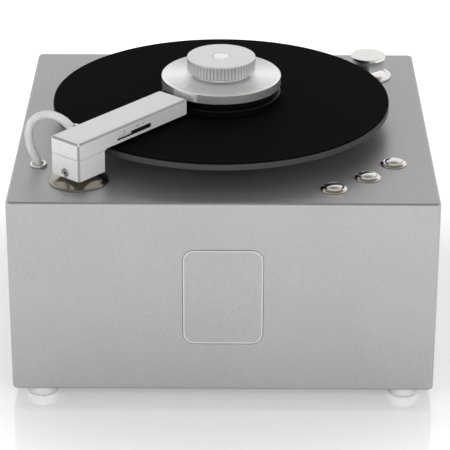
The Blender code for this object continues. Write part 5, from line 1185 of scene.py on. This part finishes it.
class ArmOperator(bpy.types.Operator):
    """The suction arm: block, beam, set screw, slider, size marks and the flange under it"""

    bl_idname = "record_cleaner.arm"
    bl_label = "Suction arm"

    def execute(self, context):
        sizes = settings().arm
        self.body(sizes)
        for name in ("arm_lower", "arm_upper"):
            self.shade_chamfers(bpy.data.objects[name].data, sizes)
        self.screw(sizes)
        self.slider(sizes)
        self.flange(sizes)
        self.spring(sizes)
        for text, along in SIZE_MARKS:
            self.mark(sizes, text, along)
        return {"FINISHED"}

    def body(self, sizes):
        """Block and beam: an outline with cut corners, carried up with a chamfer at the top."""
        half, soft, chamfer, reach = sizes.width / 2, sizes.softness, sizes.chamfer, sizes.reach
        base, top = spans("arm_block")[1], spans("arm_beam")[2]
        parting, under = sizes.parting, sizes.underside
        lower = carried(octagon((-half, -half), (half, half), chamfer),
                        edge_profile(base, parting - GAP, soft, 3), soft, soft, 3)
        bore = on_arm(rod(sizes.post + GAP, base - OVERRUN, parting + OVERRUN))
        hole = sizes.screw_radius + GAP
        wide, flare = hole + sizes.screw_flare, OVERRUN + sizes.screw_flare
        tunnel = turned([(0, 0), (wide, 0), (wide, OVERRUN), (hole, flare), (hole, half), (0, half)], 64)
        tunnel = on_arm(laid(tunnel, (-half - OVERRUN, 0, sizes.screw_height), (0, 1, 0), UP, (1, 0, 0)))
        add_piece("arm_lower", on_arm(lower), "silver", "arm", "arm_block", cuts=[bore, tunnel])
        profile = softened([(4 * MARGIN, parting), (0.0, parting), (0.0, top - chamfer), (chamfer, top),
                            (chamfer + 4 * MARGIN, top)], [0.0, soft, soft, soft, 0.0], 3)
        upper = carried(octagon((-half, -half), (reach, half), chamfer), profile, soft, soft, 3)
        step = block((half + GAP, -half - OVERRUN, parting - OVERRUN),
                     (reach + OVERRUN, half + OVERRUN, under), GAP / 3, GAP / 3, 1)
        slit = sizes.channel_width / 2
        channel = block((sizes.channel_start, -slit, under - OVERRUN),
                        (reach - sizes.channel_margin, slit, under + sizes.channel_depth), slit - GAP, GAP)
        slot = block((0.0, 0.0, -sizes.slot_depth), (sizes.slot_length, sizes.slot_width, OVERRUN),
                     sizes.slot_corner, GAP / 2)
        slot = on_arm(facing_front(slot, (sizes.slot_start, -half, sizes.slot_low)))
        hose = settings().hose
        socket = facing_back(rod(hose.spigot_tail + GAP, 0, half, 32),
                             (hose.spigot_along, half - hose.tail_length - GAP, hose.spigot_height))
        tools = [on_arm(tool) for tool in (step, channel, socket)]
        # The slot's cut faces take the black plastic, a painted shade inside the slot
        add_piece("arm_upper", on_arm(upper), "silver", "arm", "arm_beam",
                  cuts=[*tools, (*slot, LOOKS["plastic"])])

    def shade_chamfers(self, mesh, sizes):
        """Gives the slanting faces the darker metal, a painted shade: those whose normal lies along none of
        the arm's axes.
        """
        mesh.materials.append(LOOKS["shaded_chamfer"])
        normals, centres = np.empty((2, len(mesh.polygons) * 3))
        mesh.polygons.foreach_get("normal", normals)
        mesh.polygons.foreach_get("center", centres)
        axes = np.array(((*ARM_ALONG, 0.0), (*ARM_ACROSS, 0.0), UP))
        along = np.abs(normals.reshape(-1, 3) @ axes.T)
        offset = (centres.reshape(-1, 3) - (*ARM_AXIS, DECK)) @ axes.T
        edge = 2 * sizes.chamfer
        outside = (np.abs(offset[:, 1]) > sizes.width / 2 - edge) | (offset[:, 0] < 0)
        outside |= offset[:, 0] > sizes.reach - edge
        slanting = (np.sort(along, axis=1)[:, 1] > SLANTING) & outside
        index = np.empty(len(mesh.polygons), np.int32)
        mesh.polygons.foreach_get("material_index", index)
        index[slanting & (index == 0)] = len(mesh.materials) - 1
        mesh.polygons.foreach_set("material_index", index)

    def screw(self, sizes):
        """The set screw: a turned plug with a hexagon sunk in its end."""
        radius, foot = sizes.screw_radius, -SET_SCREW_LENGTH
        plug = spun([(0, foot), (radius, foot), (radius, 0), (0, 0)], [0, GAP, 1.5 * GAP, 0], 64, 3)
        plug, socket = (on_arm(laid(shape, (GAP - sizes.width / 2, 0.0, sizes.screw_height), (0, -1, 0), UP,
                                    (-1, 0, 0)))
                        for shape in (plug, hexagon(sizes.socket_radius, -sizes.socket_depth)))
        add_piece("set_screw", plug, "steel", "arm", "arm_set_screw", cuts=[socket])

    def slider(self, sizes):
        """The size slider, a small soft-edged block in the side slot."""
        inset = sizes.slider_inset
        bar = block((inset, inset, GAP - sizes.slot_depth),
                    (sizes.slider_length, sizes.slot_width - inset, -inset), sizes.slot_corner - GAP, GAP)
        bar = facing_front(bar, (sizes.slot_start, -sizes.width / 2, sizes.slot_low))
        add_piece("slider_bar", on_arm(bar), "silver", "slider", "size_slider", slot="chrome")

    def spring(self, sizes):
        """The lift spring, a wire along the helix (R cos a, R sin a, h a / 2 pi n); in the machine the arm
        flattens it, but here it is made at rest.
        """
        low, high = corners_of("lift_spring")
        wire, height = sizes.spring_wire, (high - low)[2]
        angle = np.linspace(0.0, 2 * math.pi * sizes.spring_turns, 32 * sizes.spring_turns)
        rise = low[2] - DECK + wire + (height - 2 * wire) * angle / angle[-1]
        coil = (high - low)[0] / 2 - wire
        route = np.stack((coil * np.cos(angle), coil * np.sin(angle), rise), 1)
        piece = add_piece("spring", on_arm(tube(route, wire, UP, 12)), "steel", "arm_pivot", "lift_spring")
        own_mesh(piece)

    def flange(self, sizes):
        """The flange: from its lip the height rises as (1 - t)^1.2 towards the neck."""
        bore, rise, part = sizes.post + GAP, spans("arm_flange")[2], np.linspace(1.0, 0.0, 16)
        wide, rim, neck = sizes.flange, sizes.flange_rim, sizes.flange_neck
        lip, reach = rim + sizes.flange_lip, wide - sizes.flange_lip - neck
        sweep = np.stack((neck + reach * part, lip + (rise - lip) * (1 - part) ** FLANGE_POWER), 1)
        foot = softened([(bore, GAP), (wide, GAP), (wide, rim), *sweep[:2]], [0.0, GAP / 2, GAP, GAP, 0.0])
        shape = turned(np.concatenate((foot, sweep[2:], [(bore, rise)])), 160, True)
        add_piece("flange", on_arm(shape), "smoked", "chassis", "arm_flange")

    def mark(self, sizes, text, along):
        """One of the record sizes, printed over the slot."""
        curve = bpy.data.curves.new("mark_" + text, "FONT")
        curve.body = text
        curve.align_x = "CENTER"
        curve.size = sizes.mark_size
        curve.extrude = MARK_THICKNESS
        curve.fill_mode = "BOTH"
        source = linked("mark_" + text, curve)
        mesh = finished_mesh(source)
        bpy.data.objects.remove(source)
        points = np.empty(len(mesh.vertices) * 3)
        mesh.vertices.foreach_get("co", points)
        faces = [list(face.vertices) for face in mesh.polygons]
        bpy.data.meshes.remove(mesh)
        place = (along, -sizes.width / 2 - MARK_THICKNESS, MARK_HEIGHT)
        add_piece("mark_" + text, on_arm(facing_front((points.reshape(-1, 3), faces), place)), "ink", "arm")


class PadsOperator(bpy.types.Operator):
    """The two velvet strips beside the suction slit"""

    bl_idname = "record_cleaner.pads"
    bl_label = "Velvet pads"

    def execute(self, context):
        arm, turn = settings().arm, quarter(8)
        high, low, near = arm.underside - GAP, spans("velvet_pad_near")[1], arm.channel_width / 2 + GAP
        crown = np.stack((PAD_EDGE * (1 - np.cos(turn)), high - (high - low) * np.sin(turn[::-1])), 1)
        for name, side in (("near", -1), ("far", 1)):
            edges = sorted((side * near, side * (near + PAD_WIDTH)))
            outline = rectangle((arm.channel_start, edges[0]), (arm.reach - arm.channel_margin, edges[1]))
            profile = np.concatenate(([(PAD_EDGE + 4 * MARGIN, low)], crown,
                                      [(0.0, high), (4 * MARGIN, high)]))
            shape = carried(outline, profile, PAD_CORNER, PAD_LEFT, 6)
            piece = add_piece("velvet_" + name, on_arm(shape), "velvet", "arm", "velvet_pad_" + name)
        return {"FINISHED"}


class HoseOperator(bpy.types.Operator):
    """The suction hose with its grommet and spigot, and the two hoses inside"""

    bl_idname = "record_cleaner.hose"
    bl_label = "Hoses"

    def execute(self, context):
        sizes, half = settings().hose, settings().arm.width / 2
        self.suction_hose(sizes, half)
        self.ends(sizes, half)
        inner, pump = (smooth_route(ROUTE_CENTRE + route, 8) for route in (INNER_HOSE_ROUTE, PUMP_HOSE_ROUTE))
        inner, pump = tube(inner, sizes.radius, (1, 0, 0)), tube(pump, sizes.pump_radius, PUMP_HOSE_SIDE)
        add_piece("inner_tube", inner, "hose", "chassis", "inner_hose")
        add_piece("pump_tube", pump, "pump_hose", "chassis", "pump_hose")
        return {"FINISHED"}

    def suction_hose(self, sizes, half):
        """The free stretch, a tube along its route."""
        out = half + GAP + sizes.spigot_length + GAP
        points = [(sizes.spigot_along, far, sizes.spigot_height) for far in (out + sizes.straight, out)]
        ends = on_arm((np.array(points), []))[0]
        route = smooth_route(np.concatenate((ROUTE_CENTRE + HOSE_ROUTE, ends)), 4)
        hose = add_piece("hose", tube(route, sizes.radius, (0, 1, 0), 40, sizes.bore), "hose", "chassis")
        hose.parent = None
        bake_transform(hose)
        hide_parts("suction_hose")

    def ends(self, sizes, half):
        """The grommet in the casing and the spigot on the arm."""
        bore, neck, wide, mouth = sizes.radius + GAP, sizes.neck, sizes.grommet, sizes.mouth
        under, top, lip = -sizes.neck_length, sizes.grommet_height, wide - mouth
        grommet = spun([(bore, under), (neck, under), (neck, GAP), (wide, GAP), (wide, top), (mouth, top),
                        (mouth, 0.0), (bore, 0.0)],
                       [0.0, 0.0, 0.0, GAP / 2, lip * LIP_OUTSIDE, lip * LIP_INSIDE, 0.0, 0.0], 96, 5, True)
        add_piece("grommet", upright(grommet, GROMMET), "chrome", "chassis", "hose_grommet")
        tail, collar = sizes.spigot_tail, sizes.spigot_radius
        foot, seat, out = half - sizes.tail_length, half + GAP, half + GAP + sizes.spigot_length
        spigot = spun([(0.0, foot), (tail, foot), (tail, seat), (collar, seat), (collar, out), (0.0, out)],
                      [0.0, GAP, 0.0, GAP, GAP, 0.0], 64)
        spigot = facing_back(spigot, (sizes.spigot_along, 0.0, sizes.spigot_height))
        add_piece("spigot", on_arm(spigot), "chrome", "arm", "hose_spigot")


class RearOperator(bpy.types.Operator):
    """The rear panel with its grille and screws, mains inlet, power switch and drain"""

    bl_idname = "record_cleaner.rear"
    bl_label = "Rear panel"

    def execute(self, context):
        sizes = settings().rear
        self.panel(sizes)
        self.screws(sizes)
        self.inlet(sizes)
        self.switch(sizes)
        self.drain(sizes)
        return {"FINISHED"}

    def panel(self, sizes):
        """The panel: a plate with slots whose ends are round."""
        low, high = corners_of("rear_panel")
        thick, back = high[1] - low[1], (0.0, high[1], 0.0)
        under, half = -thick - OVERRUN, sizes.slot / 2
        plate = block((-high[0], low[2], -thick), (-low[0], high[2], 0.0), GAP, GAP)
        cuts = []
        for node, (width, height) in (("mains_inlet", INLET_HOLE), ("switch_frame", SWITCH_HOLE)):
            x, _, z = middle_of(node)
            cuts.append(slab(width / 2 + GAP, height / 2 + GAP, under, OVERRUN, centre=(-x, z)))
        for number in range(GRILLE_SLOTS):
            centre = -middle_of("blower_motor")[0] + (number - GRILLE_SLOTS // 2) * sizes.pitch
            cuts.append(slab(half, sizes.slot_height / 2, under, OVERRUN, half - MARGIN,
                             centre=(centre, GRILLE_HEIGHT)))
        cuts.append(moved(rod(DRAIN_HOLE, under, OVERRUN), (-DRAIN_AXIS[0], DRAIN_AXIS[2], 0.0)))
        add_piece("panel_plate", facing_back(plate, back), "paint", "chassis", "rear_panel",
                  cuts=[facing_back(tool, back) for tool in cuts])

    def screws(self, sizes):
        """Six domed screws with a hexagon, round the panel's edge."""
        casing, back = settings().casing, corners_of("rear_panel")[1][1]
        low = CASE_LOW + (casing.window_side, 0.0, casing.window_low) + sizes.screw_inset
        high = CASE_HIGH - (casing.window_side, 0.0, casing.window_top) - sizes.screw_inset
        head = dome(sizes.screw, sizes.screw_head, 8, 48)
        socket = hexagon(sizes.screw * SOCKET_SHARE, sizes.screw_head * SOCKET_FLOOR)
        places = [(x, back, z) for x in (low[0], (low[0] + high[0]) / 2, high[0]) for z in (low[2], high[2])]
        for number, place in enumerate(places, 1):
            add_piece(f"panel_screw_{number}", facing_back(head, place), "steel", "chassis",
                      cuts=[facing_back(socket, place)])

    def inlet(self, sizes):
        """The mains socket: a flanged body, its hollow with cut corners at the top, and three blades."""
        low, high = corners_of("mains_inlet")
        (x, _, z), (half_x, deep, half_z) = (low + high) / 2, (high - low) / (2, 1, 2)
        place, floor = (x, high[1], z), -sizes.inlet_depth
        wide, tall = sizes.inlet_width / 2, sizes.inlet_height / 2
        wall, slant = sizes.inlet_wall, sizes.inlet_slant
        outline = [(-wide, -tall), (wide, -tall), (wide, tall - slant), (wide - slant, tall),
                   (slant - wide, tall), (-wide, tall - slant)]
        hollow = facing_back(carried(outline, [(0.0, floor), (0.0, OVERRUN)], GAP, GAP, 2), place)
        flange = facing_back(slab(half_x, half_z, -sizes.inlet_flange, 0.0, sizes.corner), place)
        body = facing_back(slab(wide + wall, tall + wall, -deep, -GAP, sizes.corner), place)
        add_piece("inlet_flange", flange, "plastic", "chassis", "mains_inlet", cuts=[hollow])
        add_piece("inlet_body", body, "plastic", "chassis", cuts=[hollow])
        width, height, reach = sizes.blade
        for number, centre in enumerate(BLADE_PLACES, 1):
            pin = slab(width / 2, height / 2, floor - GAP, floor + reach, centre=centre)
            add_piece(f"inlet_blade_{number}", facing_back(pin, place), "chrome", "chassis")
        head = dome(INLET_SCREW[0] * sizes.screw, INLET_SCREW[1], 6, 32)
        for number, side in ((1, 1), (2, -1)):
            spot = (x + side * (half_x - sizes.screw), high[1], z)
            add_piece(f"inlet_screw_{number}", facing_back(head, spot), "steel", "chassis")

    def switch(self, sizes):
        """The switch: a rim round a pocket, and a rocker whose face is an arc with a flat half."""
        low, high = corners_of("switch_frame")
        (x, _, z), (half_x, deep, half_z) = (low + high) / 2, (high - low) / (2, 1, 2)
        place, border = (x, high[1], z), sizes.switch_border
        rim = slab(half_x, half_z, -sizes.inlet_flange, 0.0, sizes.corner)
        pocket = facing_back(slab(half_x - border, half_z - border, 2 * GAP - deep, OVERRUN), place)
        body = slab(half_x - border / 2, half_z - border / 2, -deep, -GAP)
        add_piece("switch_rim", facing_back(rim, place), "plastic", "chassis", "switch_frame", cuts=[pocket])
        add_piece("switch_body", facing_back(body, place), "plastic", "chassis", cuts=[pocket])
        low, high = corners_of("power_rocker")
        (wide, _, tall), proud, deep = (high - low) / 2, high[1] - place[1], place[1] - low[1]
        across = np.linspace(1.0, -1.0, 25)
        face = proud * (ROCKER_FLAT + (1 - ROCKER_FLAT) * np.clip(-across, 0.0, 1.0) ** ROCKER_POWER)
        outline = np.concatenate((
            np.stack((tall * across, face), 1),
            [(border - tall, -deep * ROCKER_HEEL), (0.0, -deep), (tall - border, -deep * ROCKER_HEEL)],
        ))
        rocker = stacked([np.insert(outline, 0, end, axis=1) for end in (-wide, wide)])
        add_piece("rocker", facing_back(rocker, place), "plastic", "rocker", "power_rocker")
        turn, (radius, line), (bar_x, bar_y) = circle(24), ROCKER_RING, ROCKER_BAR
        ring = turned(np.stack((radius + line * np.cos(turn), PRINT_RISE * np.sin(turn)), 1), 48, True)
        ring = moved(ring, (0.0, ROCKER_MARK * tall, ROCKER_FLAT * proud))
        bar = slab(bar_x, bar_y, -PRINT_RISE, PRINT_RISE, PRINT_RISE / 2, PRINT_RISE / 2)
        slope = proud * (1 - ROCKER_FLAT) * ROCKER_POWER * ROCKER_MARK ** (ROCKER_POWER - 1) / tall
        rise = proud * (ROCKER_FLAT + (1 - ROCKER_FLAT) * ROCKER_MARK**ROCKER_POWER)
        lean = np.array((0.0, 1.0, -slope)) / math.hypot(1.0, slope)
        bar = laid(bar, (0.0, -ROCKER_MARK * tall, rise), (1, 0, 0), lean, np.cross((1, 0, 0), lean))
        for name, shape in (("rocker_ring", ring), ("rocker_bar", bar)):
            add_piece(name, facing_back(shape, place), "mark", "rocker")

    def drain(self, sizes):
        """The drain valve with its spout, and the quarter-turn tap with a waist in its handle."""
        low, high = corners_of("drain_valve")
        (x, _, z), radius, deep, tail = DRAIN_AXIS, sizes.drain, high[1] - low[1], sizes.drain_tail
        stem, neck = sizes.tap_stem + GAP, radius * VALVE_NECK
        collar, bore = sizes.drain_shoulder - deep, -VALVE_BORE
        slope, floor, floor_end, slope_end = (-place for place in VALVE_GROOVE)
        profile = softened(
            [(stem, bore), (stem, 0.0), (radius, 0.0), (radius, slope), (neck, floor), (neck, floor_end),
             (radius, slope_end), (radius, collar), (tail, collar), (tail, -deep), (0.0, -deep), (0.0, bore)],
            [0.0, *[GAP] * 9, 0.0, 0.0], 3,
        )
        add_piece("valve", facing_back(turned(profile[::-1], 64), (x, high[1], z)), "chrome", "chassis",
                  "drain_valve")
        (hole, top), wide, drop = SPOUT_BORE, sizes.spout, -sizes.spout_drop
        spout = spun([(0.0, -top), (hole, -top), (hole, drop), (wide, drop), (wide, -radius / 2),
                      (0.0, -radius / 2)], [0.0, 0.0, GAP, GAP, 0.0, 0.0], 48, 3)
        add_piece("spout", moved(spout, (x, CASE_HIGH[1] + wide + GAP, z)), "chrome", "chassis")
        place = (x, high[1] + GAP, z)
        low, high = corners_of("drain_tap")
        (long, _, thick), reach = (high - low) / 2, high[1] - place[1]
        along, across = np.cos(circle(64)), np.sin(circle(64))
        waist = thick * (TAP_WAIST + (1 - TAP_WAIST) * along**2)
        outline = np.stack((long * np.sign(along) * np.abs(along) ** TAP_END_POWER,
                            waist * np.sign(across) * np.abs(across) ** TAP_SIDE_POWER), 1)
        tap = stacked([np.insert(outline * scale, 2, reach * part, axis=1) for scale, part in TAP_SECTIONS])
        add_piece("tap", facing_back(tap, place), "chrome", "tap", "drain_tap")
        add_piece("tap_shaft", facing_back(rod(sizes.tap_stem, -TAP_SHAFT, GAP, 32), place), "steel", "tap")


# Solids that are shown as they are, by finish
CARRIED_OVER = {
    "steel": (
        "base_tray", "bearing_housing", "upper_bearing", "lower_bearing", "motor_bracket", "drive_coupling",
        "platter_gearbox", "platter_motor", "blower_motor", "power_supply", "arm_bush", "arm_post",
        "post_clip",
    ),
    "plastic": ("blower_housing", "blower_impeller"),
    "tank": ("waste_tank", "tank_lid"),
    "pump_hose": ("blower_mount",),
    "board": ("control_board",),
}


class InsideOperator(bpy.types.Operator):
    """Materials of the solids that are shown as they are"""

    bl_idname = "record_cleaner.inside"
    bl_label = "Inner parts"

    def execute(self, context):
        for look, nodes in CARRIED_OVER.items():
            for node in nodes:
                solid = frame["nodes"][node]
                solid.data.materials.clear()
                solid.data.materials.append(LOOKS[look])
        return {"FINISHED"}


# Stage


def add_lamp(name, place, size, power):
    """A square soft lamp that shines on the machine and isn't mirrored in its metal."""
    lamp = bpy.data.lights.new(name, "AREA")
    lamp.shape = "SQUARE"
    lamp.size = size
    lamp.energy = power
    holder = linked(name, lamp)
    holder.location = place
    holder.rotation_euler = (Vector((0.0, 0.0, DECK / 2)) - Vector(place)).to_track_quat("-Z", "Y").to_euler()
    holder.visible_camera = False
    holder.visible_glossy = False


class StageOperator(bpy.types.Operator):
    """Floor, surroundings, soft lamps and the camera"""

    bl_idname = "record_cleaner.stage"
    bl_label = "Stage"

    def execute(self, context):
        stage = settings().stage
        self.floor(stage.floor)
        self.surroundings(stage)
        for name, place, size in LAMPS:
            add_lamp(name + "_lamp", place, size, getattr(stage, name))
        self.camera()
        context.scene.view_settings.view_transform = "Standard"
        return {"FINISHED"}

    def floor(self, size):
        """A pale floor that looks white to the camera and to metal, and keeps the machine's shadow; its glow
        is weaker near the machine, a painted shade round it.
        """
        look = Look("floor", Roughness=0.07, IOR=2.6, Emission_Strength=1.0)
        look.tint(look.noise(40.0), FLOOR_TINT, 0.004)
        outputs = look.node("ShaderNodeLightPath").outputs
        rays = {kind: Value(look, socket) for kind, socket in outputs.items()}
        seen = rays["Is Camera Ray"] + GLOW_MIRRORED * rays["Is Glossy Ray"] + rays["Is Transmission Ray"]
        # Painted shade: the glow fades from far to near, so the floor round the machine is darker
        glow = look.blend(look.from_spindle().between(*GLOW_RANGE), GLOW_NEAR, GLOW_FAR)
        look.feed(look.inputs["Emission Color"], look.blend(seen, (0, 0, 0), glow))
        mesh = bpy.data.meshes.new("floor")
        corners = [(x, y, 0) for x, y in rectangle((-size, -size), (size, size))]
        mesh.from_pydata(corners, [], [(0, 1, 2, 3)])
        mesh.materials.append(look.material)
        linked("floor", mesh)

    def surroundings(self, stage):
        """White round the floor, greyer behind the machine, dark and warm overhead."""
        world = bpy.data.worlds.new("surroundings")
        world.use_nodes = True
        bpy.context.scene.world = world
        graph = Graph(world.node_tree)
        _, depth, rise = graph.parts(graph.node("ShaderNodeTexCoord").outputs["Generated"])
        low = graph.blend(depth.between(*SKY_BACK_RANGE), stage.sky, stage.sky_back)
        sky = graph.blend(rise.between(*SKY_HIGH_RANGE), low, stage.sky_high)
        background = world.node_tree.nodes["Background"]
        graph.feed(background.inputs["Color"], sky)
        background.inputs["Strength"].default_value = 1.0

    def camera(self):
        """The photograph's viewpoint: rolled and tilted about the place it was taken from."""
        (cy, cp, cr), (sy, sp, sr) = (list(map(part, (CAMERA_YAW, CAMERA_PITCH, CAMERA_ROLL)))
                                      for part in (math.cos, math.sin))
        forward = np.array((sy * cp, cy * cp, -sp))
        right = np.array((cy, -sy, 0.0))
        over = np.cross(right, forward)
        camera = bpy.data.cameras.new("camera")
        camera.lens = LENS
        camera.sensor_width = SENSOR
        holder = linked("camera", camera)
        matrix = np.eye(4)
        matrix[:3, :3] = np.stack((cr * right + sr * over, cr * over - sr * right, -forward), 1)
        matrix[:3, 3] = CAMERA_PLACE
        holder.matrix_world = Matrix(matrix.tolist())
        bpy.context.scene.camera = holder


OPERATORS = (
    StageOperator, HoseOperator, CasingOperator, FeetOperator, TurntableOperator, ClampOperator,
    ButtonsOperator, PostOperator, ArmOperator, PadsOperator, RearOperator, InsideOperator,
)


class MachinePanel(bpy.types.Panel):
    """The machine's pieces and finishes"""

    bl_idname = "VIEW3D_PT_record_cleaner"
    bl_label = "Record cleaning machine"
    bl_space_type = "VIEW_3D"
    bl_region_type = "UI"
    bl_category = "Record cleaner"

    def draw(self, context):
        column = self.layout.column()
        for operator in OPERATORS:
            column.operator(operator.bl_idname)
        for name in Finishes.__annotations__:
            column.prop(context.scene.record_cleaner.finishes, name)


CLASSES = (
    CasingSizes, TurntableSizes, ClampSizes, ButtonSizes, PostSizes, ArmSizes, HoseSizes, RearSizes,
    Finishes, StageSettings, MachineSettings, *OPERATORS, MachinePanel,
)


def register():
    for item in CLASSES:
        bpy.utils.register_class(item)
    bpy.types.Scene.record_cleaner = PointerProperty(type=MachineSettings)


def unregister():
    del bpy.types.Scene.record_cleaner
    for item in reversed(CLASSES):
        bpy.utils.unregister_class(item)


def main():
    register()
    make_looks()
    for operator in OPERATORS:
        group, name = operator.bl_idname.split(".")
        getattr(getattr(bpy.ops, group), name)()


if __name__ == "__main__":
    main()
